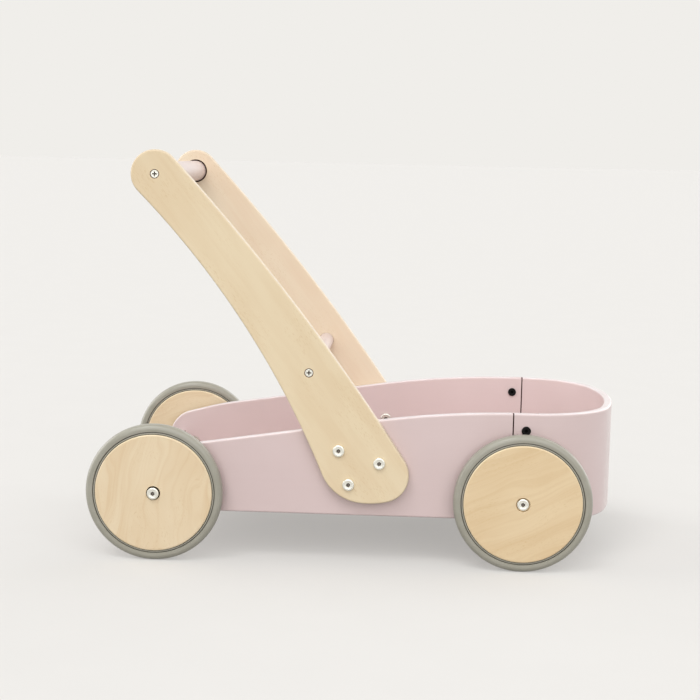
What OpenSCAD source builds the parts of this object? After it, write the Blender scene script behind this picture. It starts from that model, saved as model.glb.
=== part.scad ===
// Push walker for a baby learning to walk: a low open tray on four rubber-tyred
// plywood wheels, with two bowed arms that carry a dowel push handle.
// Millimetres, +Z up, floor at Z = 0, the child walks behind towards +X.
// Right and left are as seen by the child, so the right side is -Y.

/* [Wheels] */
// Outside diameter over the tyres
wheel_d = 150; // [130:1:170]
// Distance between the front and rear axles
wheelbase = 400; // [370:1:440]
// How far the tyre stands out from the disc's rim
tyre_t = 11; // [8:0.5:14]
// Width of the tyre
tyre_w = 14; // [11:0.5:15]
// Thickness of the plywood disc
disc_t = 16; // [15.5:0.5:20]
// Gap between the disc and the side panel
wheel_gap = 7; // [5:0.5:10]

/* [Body] */
// Width over the two side panels
box_w = 280; // [250:1:320]
// Thickness of the painted plywood
panel_t = 9; // [8.5:0.5:12]
// Height of the panels at the front
body_h = 118; // [108:1:133]
// Height of the axles above the panels' bottom edge
axle_up = 23; // [20:1:26]
// How far the panels reach behind the rear axle
tail = 30; // [27:1:40]
// Height of the panels at their rear corner
tail_h = 56.5; // [53:0.5:61]
// Height of the knee in the top edge
knee_h = 74; // [69:1:79]
// How far the bow reaches ahead of the front axle
nose = 108; // [100:1:125]
// Outer radius of the bow's corners
bow_r = 90; // [75:1:95]
// Outer radius of the bow's crowned front
bow_crown = 280; // [250:5:400]
// Length of the half-lap between panel and bow
lap = 26; // [22:1:32]
// Rounding of the plywood edges
edge_r = 2; // [1:0.25:2.5]
// Thickness of the floor board
floor_t = 7; // [6.5:0.5:8]
// Height of the board that closes the tray at the rear
rear_h = 35; // [26:1:40]

/* [Arms] */
// Thickness of the arms
arm_t = 12; // [10:0.5:16]
// Height of the push handle
handle_z = 419; // [380:1:460]
// Push handle ahead of the rear axle
handle_x = -2; // [-20:1:20]
// Radius of the arm's round top end
end_r = 26; // [22:0.5:30]
// Radius of the arm's heel, low on its rear side
heel_r = 51; // [47:0.5:55]
// Heel centre ahead of the rear axle
heel_x = 229; // [215:1:240]
// Heel centre above the axles
heel_up = 44; // [39:1:49]
// Radius of the arm's toe, low on its front side
toe_r = 29.5; // [26:0.5:33]
// Radius of the hollow rear edge
hollow_r = 940; // [800:10:1200]
// Radius of the crowned front edge
crown_r = 2380; // [1800:10:3000]
// Height of the lower crossbar
bar_z = 210; // [200:1:240]
// Diameter of the push handle
handle_d = 25; // [20:0.5:30]
// Diameter of the lower crossbar
bar_d = 18; // [14:0.5:22]

/* [Fasteners] */
// Thread diameter of the arm and wheel bolts
bolt_d = 6; // [5:0.5:7]
// Head diameter of the arm and wheel bolts
head_d = 13; // [12:0.25:14]
// Outside diameter of the steel sleeve each wheel turns on
sleeve_d = 10; // [9:0.25:10.5]
// Radial clearance of the wheel on its sleeve
run_fit = 0.06; // [0.03:0.01:0.1]
// Head diameter of the black lap bolts
lap_head_d = 10; // [8.5:0.25:11]
// Head diameter of the cross-slot wood screws
screw_head_d = 9.5; // [8.5:0.25:10.5]

/* [Hidden] */
$fn = 96;
// play between pieces that are put together once
fit = 0.05;
// axial play of a wheel between its spacer and the bolt head
end_play = 0.3;
// how far a bush stands out of the inner face of its disc
bush_proud = 0.2;
rear_x = -(wheelbase + nose - wheel_d / 2) / 2;
front_x = rear_x + wheelbase;
nose_x = front_x + nose;
axle_z = wheel_d / 2;
side_y = box_w / 2;
inner_y = side_y - panel_t;
wheel_y = side_y + wheel_gap + disc_t / 2;
disc_r = wheel_d / 2 - tyre_t;
body_z = axle_z - axle_up;
top_z = body_z + body_h;

// half-lap: the panel keeps the inner half, the bow the outer half
seam = 0.8;
lap_y = side_y - panel_t / 2;
lap_x0 = front_x - lap / 2 + 1;
lap_x1 = lap_x0 + lap;
lap_c = [front_x + 2, top_z - 18.5];

// tongue of the floor board and the grooves it stands in
groove = 3;
tongue_t = 3.5;
tongue_z = body_z + 4;
floor_z = body_z + 2.5;
rear_x1 = rear_x - 11;
rear_x0 = rear_x1 - panel_t;

// rim groove that keeps the tyre on the disc
rim_groove = 2;
rim_half = tyre_w / 2 - 2;

// the front wheels' bolt heads lie in a recess, the rear ones stand on the bush
head_t = 3;
front_sink = 3;
rear_bush_d = head_d + 2.2;
front_bush_d = sleeve_d + 3;
sink_d = head_d + 2.4;

// sockets in the arms for the dowels, the handle's a little roomy
socket = 4;
handle_play = 0.8;
screw_d = 4.5;

// barrels of the nuts, and the flange of the tee nuts
nut_d = 8;
tee_d = 16;
tee_t = 1.5;
lap_nut_d = 7;
lap_bolt_d = 5;
lap_head_t = 2.2;

function unit(v) = v / norm(v);
function polar(a) = [cos(a), sin(a)];
function bearing(c, p) = atan2(p[1] - c[1], p[0] - c[0]);
function after(a, b) = b < a ? b + 360 : b;

// arc about c from angle a to angle b, its last point left to the next arc
function arc(c, r, a, b, n) = [for (i = [0:n - 1]) c + r * polar(a + (b - a) * i / n)];

// the same arc with its last point
function full_arc(c, r, a, b, n) = concat(arc(c, r, a, b, n), [c + r * polar(b)]);

// point at distance d1 from c1 and d2 from c2, on the right of c1 to c2 if side is -1
function meet(c1, d1, c2, d2, side) =
  let (v = c2 - c1, d = norm(v), a = (d1 * d1 - d2 * d2 + d * d) / (2 * d))
  c1 + v * a / d + side * [-v[1], v[0]] / d * sqrt(d1 * d1 - a * a);

// corner p of a polygon rounded to radius r, then set in by the offset o
function corner(a, p, b, r, o, n) =
  let (u = unit(a - p), v = unit(b - p), half = acos(u * v) / 2)
  let (c = p + unit(u + v) * r / sin(half), from = bearing(c, p + u * r / tan(half)))
  full_arc(c, r - o, from, from + 180 - 2 * half, n);

// outline of an arm as tangent arcs: crowned front, round top end, hollow rear edge, heel, sole, toe
top_c = [rear_x + handle_x, handle_z];
heel_c = [rear_x + heel_x, axle_z + heel_up];
toe_out = 5.5;
toe_way = -47.6;
toe_c = heel_c + (heel_r - toe_r + toe_out) * polar(toe_way);
sole_r = heel_r + 40;
hollow_c = meet(top_c, hollow_r + end_r, heel_c, hollow_r + heel_r, -1);
sole_c = meet(heel_c, sole_r - heel_r, toe_c, sole_r - toe_r, 1);
crown_c = meet(top_c, crown_r - end_r, toe_c, crown_r - toe_r, -1);

function arm_outline(o) =
  let (top_a = bearing(crown_c, top_c), hollow_a = bearing(hollow_c, top_c))
  let (heel_a = bearing(hollow_c, heel_c), sole_a = after(180, bearing(sole_c, heel_c)))
  let (toe_a = after(sole_a, bearing(sole_c, toe_c)), crown_a = bearing(crown_c, toe_c))
  let (crown_mid = (crown_a + top_a) / 2)
  concat(
    arc(crown_c, crown_r - o, crown_mid, top_a, 7),
    arc(top_c, end_r - o, top_a, hollow_a + 180, 26),
    arc(hollow_c, hollow_r + o, hollow_a, heel_a, 14),
    arc(heel_c, heel_r - o, heel_a + 180, sole_a, 12),
    arc(sole_c, sole_r - o, sole_a, toe_a, 5),
    arc(toe_c, toe_r - o, toe_a, after(toe_a, crown_a), 14),
    arc(crown_c, crown_r - o, crown_a, crown_mid, 7)
  );

// the lower crossbar sits midway across the blade at its own height
function edge_x(c, r, z) = c[0] + sqrt(r * r - pow(z - c[1], 2));
bar_c = [(edge_x(crown_c, crown_r, bar_z) + edge_x(hollow_c, hollow_r, bar_z)) / 2, bar_z];
bolt_c = [for (s = [[166.7, 0.585], [-21, 0.32], [239.5, 0.685]]) heel_c + heel_r * s[1] * polar(s[0])];

// outline of a side panel: level front, long slope down to the knee, round tail
brow_x = front_x - 82;
panel_end = lap_x1 + 20;
panel_points = [
  [rear_x - tail, body_z], [panel_end, body_z], [panel_end, top_z],
  [brow_x, top_z], [rear_x + 35, body_z + knee_h], [rear_x - tail, body_z + tail_h]
];
brow_half = bearing(panel_points[4], panel_points[3]) / 2;
panel_radii = [18, 4, 4, 80 / tan(brow_half), 280, tail + 3];
panel_steps = [7, 3, 3, 10, 4, 10];

function panel_outline(o) = [
  for (i = [0:5])
    each corner(panel_points[(i + 5) % 6], panel_points[i], panel_points[(i + 1) % 6],
      panel_radii[i], o, panel_steps[i])
];

// centre line of the bow: corner arcs that run into the crowned front
crown_x = nose_x - bow_crown;
bow_cy = side_y - bow_r;
bow_cx = crown_x + sqrt(pow(bow_crown - bow_r, 2) - bow_cy * bow_cy);
bow_a = atan2(bow_cy, bow_cx - crown_x);

// line at radius offset g from the bow's outer face, from the right leg round to the left
function bow_line(g) = concat(
  arc([bow_cx, -bow_cy], bow_r + g, -90, -bow_a, 14),
  arc([crown_x, 0], bow_crown + g, -bow_a, bow_a, 10),
  full_arc([bow_cx, bow_cy], bow_r + g, bow_a, 90, 14)
);

// the whole bow at depth d in from its outer face, legs included
function bow_path(d) =
  let (end_x = lap_x0 + seam / 2)
  concat([[end_x, d - side_y]], bow_line(-d), [[end_x, side_y - d]]);

// section of the bow as depth in from the outer face and height
bow_section = [
  for (c = [[0, 0, 180], [1, 0, 270], [1, 1, 0], [0, 1, 90]])
    each full_arc([edge_r + c[0] * (panel_t - 2 * edge_r), edge_r + c[1] * (body_h - 2 * edge_r)],
      edge_r, c[2], c[2] + 90, 3)
];

// plan of the space inside the bow and the panels, grown by g all round
function tray_plan(g) = concat(
  [[rear_x1 - g, -inner_y - g]], bow_line(g - panel_t), [[rear_x1 - g, inner_y + g]]
);

// flat plate of thickness t with both edges rounded over
module plate(outline, t, r) {
  steps = 3;
  low = [for (k = [0:steps]) r * [1 - cos(90 * k / steps), 1 - sin(90 * k / steps)]];
  rings = concat(low, [for (k = [steps:-1:0]) [t - low[k][0], low[k][1]]]);
  layers = [for (g = rings) [for (p = outline(g[1])) [p[0], p[1], g[0]]]];
  n = len(layers[0]);
  last = len(rings) - 1;
  sides = [
    for (j = [0:last - 1], i = [0:n - 1])
      [j * n + i, (j + 1) * n + i, (j + 1) * n + (i + 1) % n, j * n + (i + 1) % n]
  ];
  base = [for (i = [0:n - 1]) i];
  lid = [for (i = [n - 1:-1:0]) last * n + i];
  polyhedron([for (l = layers) each l], concat([base], sides, [lid]), convexity = 6);
}

// stands a plate up on the right side, with its inner face at -y
module stand(y) {
  translate([0, -y, 0])
    rotate([90, 0, 0])
      children();
}

// round body along Y on the right side, from y0 out to y1
module rod(d, y0, y1, c) {
  translate([c[0], -y0, c[1]])
    rotate([90, 0, 0])
      cylinder(d = d, h = y1 - y0);
}

// profile of a bar with rounded corners
module round_rect(w, h, r) {
  difference() {
    square([w, h]);
    for (x = [0, 1], y = [0, 1])
      translate([x * w, y * h])
        mirror([x, 0])
          mirror([0, y])
            difference() {
              translate([-1, -1])
                square(r + 1);
              translate([r, r])
                circle(r);
            }
  }
}

module mirrored() {
  children();
  mirror([0, 1, 0])
    children();
}

module side_panel() {
  color([0.83, 0.76, 0.76])
    difference() {
      stand(inner_y)
        plate(function(o) panel_outline(o), panel_t, edge_r);
      // front end of the half-lap
      translate([lap_x1 - seam / 2, -side_y - 1, body_z - 1])
        cube([60, panel_t + 2, body_h + 2]);
      translate([lap_x0 - seam / 2, -side_y - 1, body_z - 1])
        cube([60, side_y + 1 - lap_y, body_h + 2]);
      // groove for the floor and housing for the rear board
      translate([rear_x1 - 1, -inner_y - groove - 0.1, tongue_z - fit])
        cube([panel_end - rear_x1, groove + 1.1, tongue_t + 2 * fit]);
      translate([rear_x0 - fit, -inner_y - groove - 0.1, floor_z - fit])
        cube([panel_t + 2 * fit, groove + 1.1, rear_h + 2 * fit]);
      axle_holes(rear_x);
      axle_holes(front_x);
      for (c = bolt_c)
        rod(nut_d + 2 * fit, inner_y - 1, side_y + 1, c);
      rod(lap_nut_d + 2 * fit, inner_y - 1, side_y + 1, lap_c);
    }
}

// hole for a wheel bolt, wider inside for the tee nut
module axle_holes(x) {
  rod(bolt_d + 4 * fit, inner_y - 1, side_y + 1, [x, axle_z]);
  rod(nut_d + 2 * fit, inner_y - 1, side_y - tee_t, [x, axle_z]);
  rod(tee_d + 4 * fit, inner_y - 1, inner_y + tee_t, [x, axle_z]);
}

module right_side_panel() {
  side_panel();
}

module left_side_panel() {
  mirror([0, 1, 0])
    side_panel();
}

// rounded section carried along the bow's path
module bow_sweep() {
  lines = [for (q = bow_section) [for (p = bow_path(q[0])) [p[0], p[1], q[1]]]];
  m = len(lines);
  n = len(lines[0]);
  skin = [
    for (j = [0:m - 1], i = [0:n - 2])
      [j * n + i, j * n + i + 1, (j + 1) % m * n + i + 1, (j + 1) % m * n + i]
  ];
  start = [for (j = [0:m - 1]) j * n];
  stop = [for (j = [m - 1:-1:0]) j * n + n - 1];
  polyhedron([for (l = lines) each l], concat([start], skin, [stop]), convexity = 6);
}

// bent plywood bow, closed at the front and lapped onto the panels at its two ends
module front_bow() {
  color([0.83, 0.76, 0.76])
    difference() {
      translate([0, 0, body_z])
        bow_sweep();
      mirrored() {
        translate([lap_x0 - 1, -lap_y, body_z - 1])
          cube([1 + lap + seam / 2, panel_t, body_h + 2]);
        axle_holes(front_x);
        rod(lap_nut_d + 2 * fit, inner_y - 1, side_y + 1, lap_c);
      }
      translate([0, 0, tongue_z - fit])
        linear_extrude(tongue_t + 2 * fit)
          polygon(tray_plan(groove + 0.1));
    }
}

module floor_board() {
  color([0.83, 0.76, 0.76]) {
    translate([0, 0, floor_z])
      linear_extrude(floor_t)
        polygon(tray_plan(-0.5));
    translate([0, 0, tongue_z])
      linear_extrude(tongue_t)
        polygon(tray_plan(groove));
  }
}

module rear_board() {
  w = 2 * (inner_y + groove);
  color([0.83, 0.76, 0.76])
    difference() {
      translate([rear_x0, w / 2, floor_z])
        rotate([90, 0, 0])
          linear_extrude(w)
            round_rect(panel_t, rear_h, edge_r);
      translate([rear_x1 - groove - 0.1, -w, tongue_z - fit])
        cube([groove + 1, 2 * w, tongue_t + 2 * fit]);
    }
}

module arm() {
  color([0.9, 0.83, 0.7])
    difference() {
      stand(side_y)
        plate(function(o) arm_outline(o), arm_t, edge_r);
      dowel_seat(top_c, handle_d + 2 * handle_play);
      dowel_seat(bar_c, bar_d + 4 * fit);
      for (c = bolt_c) {
        rod(bolt_d + 4 * fit, side_y - 1, side_y + arm_t + 1, c);
        rod(nut_d + 2 * fit, side_y - 1, side_y + arm_t - 5, c);
      }
    }
}

// blind socket for a dowel with a countersunk screw hole through it
module dowel_seat(c, d) {
  rod(d, side_y - 1, side_y + socket, c);
  rod(screw_d + 4 * fit, side_y - 1, side_y + arm_t + 1, c);
  translate([c[0], -side_y - arm_t, c[1]])
    rotate([-90, 0, 0])
      translate([0, 0, -0.01])
        cylinder(d1 = screw_head_d + 4 * fit, d2 = screw_d + 4 * fit, h = (screw_head_d - screw_d) / 2);
}

module right_arm() {
  arm();
}

module left_arm() {
  mirror([0, 1, 0])
    arm();
}

// dowel between the two arms, ends eased and drilled for the screws
module dowel(c, d) {
  half = side_y + socket;
  color([0.94, 0.88, 0.88])
    translate([c[0], 0, c[1]])
      rotate([90, 0, 0])
        difference() {
          rotate_extrude()
            polygon([
              [0, -half], [d / 2 - 1, -half], [d / 2, 1 - half],
              [d / 2, half - 1], [d / 2 - 1, half], [0, half]
            ]);
          for (s = [0, 1])
            mirror([0, 0, s])
              translate([0, 0, half - 36])
                cylinder(d = screw_d + 2 * fit, h = 37);
        }
}

module push_handle() {
  dowel(top_c, handle_d);
}

module lower_crossbar() {
  dowel(bar_c, bar_d);
}

// puts a piece drawn about +Z, outer end up, at a wheel
module at_wheel(front, left) {
  mirror([0, left ? 1 : 0, 0])
    translate([front ? front_x : rear_x, -wheel_y, axle_z])
      rotate([90, 0, 0])
        children();
}

// repeats a fixed piece at all wheels, where $seat is the height of the bush's outer end
module at_wheels() {
  for ($front = [false, true], left = [false, true])
    let ($seat = disc_t / 2 - ($front ? front_sink : 0))
      at_wheel($front, left)
        children();
}

// plywood disc with a rounded rim, grooved for the tyre and bored for its bush
module disc(bush_d, sunk_d, sink) {
  h = disc_t / 2;
  e = 1.5;
  rim = concat(
    full_arc([disc_r - e, e - h], e, -90, 0, 4),
    [[disc_r, -rim_half], [disc_r - rim_groove, -rim_half]],
    [[disc_r - rim_groove, rim_half], [disc_r, rim_half]],
    full_arc([disc_r - e, h - e], e, 0, 90, 4)
  );
  color([0.9, 0.83, 0.7])
    difference() {
      rotate_extrude($fn = 144)
        polygon(concat([[0, -h]], rim, [[0, h]]));
      translate([0, 0, -h - 1])
        cylinder(d = bush_d, h = disc_t + 2);
      translate([0, 0, h - sink])
        cylinder(d = sunk_d, h = sink + 1);
    }
}

module front_disc() {
  disc(front_bush_d, sink_d, front_sink);
}

module rear_disc() {
  disc(rear_bush_d, rear_bush_d, 0);
}

module front_right_disc() {
  at_wheel(true, false)
    front_disc();
}

module front_left_disc() {
  at_wheel(true, true)
    front_disc();
}

module rear_right_disc() {
  at_wheel(false, false)
    rear_disc();
}

module rear_left_disc() {
  at_wheel(false, true)
    rear_disc();
}

// half of the tyre's section: rib in the disc's groove, lip, fine groove and rounded bead
function tyre_half() =
  let (w = tyre_w / 2, r0 = disc_r + fit, r1 = wheel_d / 2, s = min(5.5, w - 1))
  concat(
    full_arc([r1 - s, w - s], s, 0, 90, 9),
    [[r0 + 3, w - 0.3], [r0 + 2.4, w - 1.6], [r0 + 1.8, w - 1.6], [r0 + 1.6, w - 0.9]],
    [[r0, w - 0.9], [r0, rim_half - fit], [r0 - rim_groove, rim_half - fit]]
  );

module tyre() {
  half = tyre_half();
  color([0.62, 0.62, 0.58])
    rotate_extrude($fn = 144)
      polygon(concat(half, [for (i = [len(half) - 1:-1:0]) [half[i][0], -half[i][1]]]));
}

module front_right_tyre() {
  at_wheel(true, false)
    tyre();
}

module front_left_tyre() {
  at_wheel(true, true)
    tyre();
}

module rear_right_tyre() {
  at_wheel(false, false)
    tyre();
}

module rear_left_tyre() {
  at_wheel(false, true)
    tyre();
}

// plain bearing bush pressed into the disc, a little proud on the inside
module bush(d, sink) {
  color([0.15, 0.15, 0.15])
    translate([0, 0, -disc_t / 2 - bush_proud])
      difference() {
        cylinder(d = d - 2 * fit, h = disc_t + bush_proud - sink);
        translate([0, 0, -1])
          cylinder(d = sleeve_d + 2 * run_fit, h = disc_t + 3);
      }
}

module front_right_bush() {
  at_wheel(true, false)
    bush(front_bush_d, front_sink);
}

module front_left_bush() {
  at_wheel(true, true)
    bush(front_bush_d, front_sink);
}

module rear_right_bush() {
  at_wheel(false, false)
    bush(rear_bush_d, 0);
}

module rear_left_bush() {
  at_wheel(false, true)
    bush(rear_bush_d, 0);
}

// steel sleeve clamped between the bolt head and the panel
module wheel_sleeves() {
  color([0.7, 0.7, 0.72])
    at_wheels()
      ring(sleeve_d, bolt_d + 2 * fit, -wheel_gap - disc_t / 2, $seat + end_play);
}

// spacer ring that keeps the disc clear of the panel
module wheel_spacers() {
  color([0.15, 0.15, 0.15])
    at_wheels()
      ring(sleeve_d + 8, sleeve_d + 2 * fit, -wheel_gap - disc_t / 2, -disc_t / 2 - bush_proud - end_play);
}

// tube of outer diameter d and bore b from z0 to z1
module ring(d, b, z0, z1) {
  translate([0, 0, z0])
    difference() {
      cylinder(d = d, h = z1 - z0);
      translate([0, 0, -1])
        cylinder(d = b, h = z1 - z0 + 2);
    }
}

// low round head with a hexagon socket, its underside at Z = 0
module socket_head(d, t, key) {
  r = d / 2;
  rim = full_arc([r - 1.2, t - 1.2], 1.2, 0, 80, 4);
  difference() {
    rotate_extrude()
      polygon(concat([[0, 0], [r - 0.3, 0], [r, 0.3]], rim, [[0, t]]));
    translate([0, 0, t - 2])
      cylinder(d = key / cos(30), h = 3, $fn = 6);
  }
}

module wheel_bolts() {
  color([0.7, 0.7, 0.72])
    at_wheels()
      translate([0, 0, $seat + end_play]) {
        long = $seat + end_play + disc_t / 2 + wheel_gap + panel_t - 1;
        socket_head(head_d, head_t, 4);
        translate([0, 0, -long])
          cylinder(d = bolt_d, h = long + 0.5);
      }
}

// tee nuts let in flush on the inner face of the panels
module wheel_nuts() {
  color([0.7, 0.7, 0.72])
    at_wheels()
      translate([0, 0, -wheel_gap - disc_t / 2 - panel_t])
        difference() {
          union() {
            cylinder(d = tee_d, h = tee_t);
            cylinder(d = nut_d, h = panel_t - tee_t);
          }
          translate([0, 0, -1])
            cylinder(d = bolt_d + 2 * fit, h = panel_t + 2);
        }
}

// fastens each arm to its panel from outside
module arm_bolts() {
  color([0.7, 0.7, 0.72])
    mirrored()
      for (c = bolt_c)
        translate([c[0], -side_y - arm_t, c[1]])
          rotate([90, 0, 0]) {
            socket_head(head_d, head_t, 4);
            translate([0, 0, -arm_t - panel_t + 2])
              cylinder(d = bolt_d, h = arm_t + panel_t - 1.5);
          }
}

// domed sleeve nuts inside the tray
module arm_nuts() {
  long = panel_t + arm_t - 5;
  color([0.7, 0.7, 0.72])
    mirrored()
      for (c = bolt_c)
        translate([c[0], -inner_y, c[1]])
          rotate([-90, 0, 0])
            difference() {
              union() {
                socket_head(head_d, head_t, 4);
                translate([0, 0, -long])
                  cylinder(d = nut_d, h = long + 0.5);
              }
              translate([0, 0, -long - 1])
                cylinder(d = bolt_d + 2 * fit, h = long + 1);
            }
}

module lap_bolts() {
  color([0.08, 0.08, 0.08])
    mirrored()
      translate([lap_c[0], -side_y, lap_c[1]])
        rotate([90, 0, 0]) {
          socket_head(lap_head_d, lap_head_t, 3.5);
          translate([0, 0, 2 - panel_t])
            cylinder(d = lap_bolt_d, h = panel_t - 1.8);
        }
}

module lap_nuts() {
  color([0.08, 0.08, 0.08])
    mirrored()
      translate([lap_c[0], -inner_y, lap_c[1]])
        rotate([-90, 0, 0])
          difference() {
            union() {
              socket_head(lap_head_d, lap_head_t, 3.5);
              translate([0, 0, 0.5 - panel_t])
                cylinder(d = lap_nut_d, h = panel_t);
            }
            translate([0, 0, -panel_t])
              cylinder(d = lap_bolt_d + 2 * fit, h = panel_t);
          }
}

// countersunk screws that draw the arms onto the dowels
module dowel_screws() {
  color([0.7, 0.7, 0.72])
    mirrored()
      for (c = [top_c, bar_c])
        translate([c[0], -side_y - arm_t, c[1]])
          rotate([-90, 0, 0])
            difference() {
              union() {
                cylinder(d1 = screw_head_d, d2 = screw_d, h = (screw_head_d - screw_d) / 2);
                cylinder(d = screw_d, h = 40);
              }
              for (a = [0, 90])
                rotate([0, 0, a])
                  translate([-2.6, -0.6, -1])
                    cube([5.2, 1.2, 2.4]);
            }
}

right_side_panel();
left_side_panel();
front_bow();
floor_board();
rear_board();
right_arm();
left_arm();
push_handle();
lower_crossbar();
front_right_disc();
front_left_disc();
rear_right_disc();
rear_left_disc();
front_right_tyre();
front_left_tyre();
rear_right_tyre();
rear_left_tyre();
front_right_bush();
front_left_bush();
rear_right_bush();
rear_left_bush();
wheel_sleeves();
wheel_spacers();
wheel_bolts();
wheel_nuts();
arm_bolts();
arm_nuts();
lap_bolts();
lap_nuts();
dowel_screws();
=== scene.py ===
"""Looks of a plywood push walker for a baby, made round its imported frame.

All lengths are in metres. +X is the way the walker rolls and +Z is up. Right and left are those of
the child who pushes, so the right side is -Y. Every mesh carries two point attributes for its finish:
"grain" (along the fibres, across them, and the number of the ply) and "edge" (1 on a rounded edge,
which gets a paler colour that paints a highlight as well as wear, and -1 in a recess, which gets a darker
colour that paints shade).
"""

import logging
import math
from dataclasses import dataclass
from enum import Enum
from functools import cache, cached_property
from typing import Any, Callable, Iterator, Sequence

import bmesh
import bpy
from mathutils import Matrix, Vector


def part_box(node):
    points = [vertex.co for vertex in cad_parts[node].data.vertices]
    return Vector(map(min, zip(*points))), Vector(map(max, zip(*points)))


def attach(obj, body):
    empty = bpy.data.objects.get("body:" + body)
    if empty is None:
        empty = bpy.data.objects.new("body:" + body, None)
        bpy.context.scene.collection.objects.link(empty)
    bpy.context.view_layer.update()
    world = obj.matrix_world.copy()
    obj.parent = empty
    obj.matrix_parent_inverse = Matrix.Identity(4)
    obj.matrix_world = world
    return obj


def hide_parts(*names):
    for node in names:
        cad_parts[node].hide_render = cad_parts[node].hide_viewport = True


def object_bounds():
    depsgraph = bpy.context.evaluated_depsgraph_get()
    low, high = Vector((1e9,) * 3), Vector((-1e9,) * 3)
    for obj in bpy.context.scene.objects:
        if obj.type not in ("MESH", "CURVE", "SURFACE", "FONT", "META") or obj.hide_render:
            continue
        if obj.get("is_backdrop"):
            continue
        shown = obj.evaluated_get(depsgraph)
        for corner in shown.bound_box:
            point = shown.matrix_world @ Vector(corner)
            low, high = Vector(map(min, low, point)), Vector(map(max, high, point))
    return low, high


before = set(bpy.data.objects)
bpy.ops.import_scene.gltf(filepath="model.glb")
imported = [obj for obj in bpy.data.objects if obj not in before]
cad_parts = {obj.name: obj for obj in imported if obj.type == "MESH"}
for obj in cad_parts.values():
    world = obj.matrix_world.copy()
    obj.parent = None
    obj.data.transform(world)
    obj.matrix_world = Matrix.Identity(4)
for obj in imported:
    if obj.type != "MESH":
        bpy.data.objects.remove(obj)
CAD_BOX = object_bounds()
LOG = logging.getLogger("push_walker")

Placer = Callable[[float, float, float], Vector]
Grain = tuple[float, float, float]
Outline = Callable[[float], list[Vector]]
Colour = tuple[float, float, float, float]
Socket = bpy.types.NodeSocket
Piece = bpy.types.Object

SMOOTH_ANGLE = math.radians(32)
CROSS_HALF_ANGLE = math.radians(15)  # half width of a cross slot's arm at its end, seen from the middle
WELD = 1e-6  # anything shorter counts as nothing
PLAY = 0.00005  # clearance between pieces that fit closely
FLAT_RIM = 0.0004  # flat rim beside a rounded edge, which keeps the face flat in shading
EDGE_STEPS = 6
BORE_STEPS = 64
FACE_PLY = 0.5  # middle of an outer ply


class Side(Enum):
    """Side of the walker, with the sign of its Y."""

    RIGHT = -1
    LEFT = 1

    def node(self, kind: str) -> str:
        """Name of the CAD node of a kind on this side."""
        return f"{self.name.lower()}_{kind}"

    def span(self, *distances: float) -> list[float]:
        """Distances from the middle of the walker as Y on this side, lowest first."""
        return sorted(self.value * distance for distance in distances)


class Facing(Enum):
    """Which way the head of a fastener looks."""

    OUTWARD = 1
    INWARD = -1


class Slot(Enum):
    """Material slots of the record."""

    PINK_PAINT = "pink_paint"
    BIRCH_PLY = "birch_ply"
    PALE_PINK_WOOD = "pale_pink_wood"
    GREY_RUBBER = "grey_rubber"
    BLACK_NYLON = "black_nylon"
    ZINC_STEEL = "zinc_steel"
    BLACK_STEEL = "black_steel"


class Section(Enum):
    """Outline of one ring of a turned piece."""

    ROUND = "round"
    HEXAGON = "hexagon"
    CROSS = "cross"

    def reach(self, radius: float, angle: float) -> float:
        """Distance from the axis to the outline in one direction.

        Args:
            radius: radius of the circle, half width over the hexagon's flats, or half length of the cross.
            angle: direction about the axis.

        Returns:
            The distance.
        """
        if self is Section.HEXAGON:
            sixth = math.pi / 3
            return radius / math.cos((angle + sixth / 2) % sixth - sixth / 2)
        if self is Section.CROSS:
            width = radius * math.tan(CROSS_HALF_ANGLE)
            run, rise = max(abs(math.cos(angle)), WELD), max(abs(math.sin(angle)), WELD)
            return max(min(radius / run, width / rise), min(width / run, radius / rise))
        return radius


@dataclass(frozen=True)
class Ring:
    """One ring of a turned piece: its size, its height on the axis, how much edge it is and its outline."""

    r: float
    h: float
    edge: float = 0.0
    section: Section = Section.ROUND


Shape = Callable[[float, float], list[Ring]]


@dataclass(frozen=True)
class Box:
    """Box round a CAD node or round one of its solids."""

    low: Vector
    high: Vector

    @classmethod
    def of(cls, node: str) -> "Box":
        """Box of a whole node."""
        return cls(*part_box(node))

    @property
    def middle(self) -> Vector:
        """Middle of the box."""
        return (self.low + self.high) / 2

    @property
    def half(self) -> Vector:
        """Half of its three lengths."""
        return (self.high - self.low) / 2


def srgb(*steps: int) -> Colour:
    """Linear colour of a screen colour.

    Args:
        steps: red, green and blue from 0 to 255.

    Returns:
        The linear colour with full alpha.
    """
    shares = [step / 255 for step in steps]
    linear = [c / 12.92 if c <= 0.04045 else ((c + 0.055) / 1.055) ** 2.4 for c in shares]
    return (linear[0], linear[1], linear[2], 1.0)


def mirrored(rings: Sequence[Ring]) -> list[Ring]:
    """The same rings at the opposite heights, in reverse order."""
    return [Ring(ring.r, -ring.h, ring.edge, ring.section) for ring in reversed(rings)]


def quarter(steps: int) -> list[float]:
    """Angles from 0 to a right angle."""
    return [math.pi / 2 * k / steps for k in range(steps + 1)]


def polar(angle: float) -> Vector:
    """Unit vector in the plane at an angle."""
    return Vector((math.cos(angle), math.sin(angle)))


def left_of(line: Vector) -> Vector:
    """A vector of the plane, turned to the left by a right angle."""
    return Vector((-line.y, line.x))


def bearing(centre: Vector, point: Vector) -> float:
    """Angle of a point as seen from a centre."""
    return math.atan2(point.y - centre.y, point.x - centre.x)


def after(start: float, stop: float) -> float:
    """The stop angle, a full turn later if it comes before the start."""
    return stop + math.tau if stop < start else stop


def arc(
    centre: Vector, radius: float, start: float, stop: float, steps: int, last: bool = False
) -> list[Vector]:
    """Points along an arc, with the last point or with that left to the next arc."""
    return [centre + radius * polar(start + (stop - start) * i / steps) for i in range(steps + int(last))]


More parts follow.
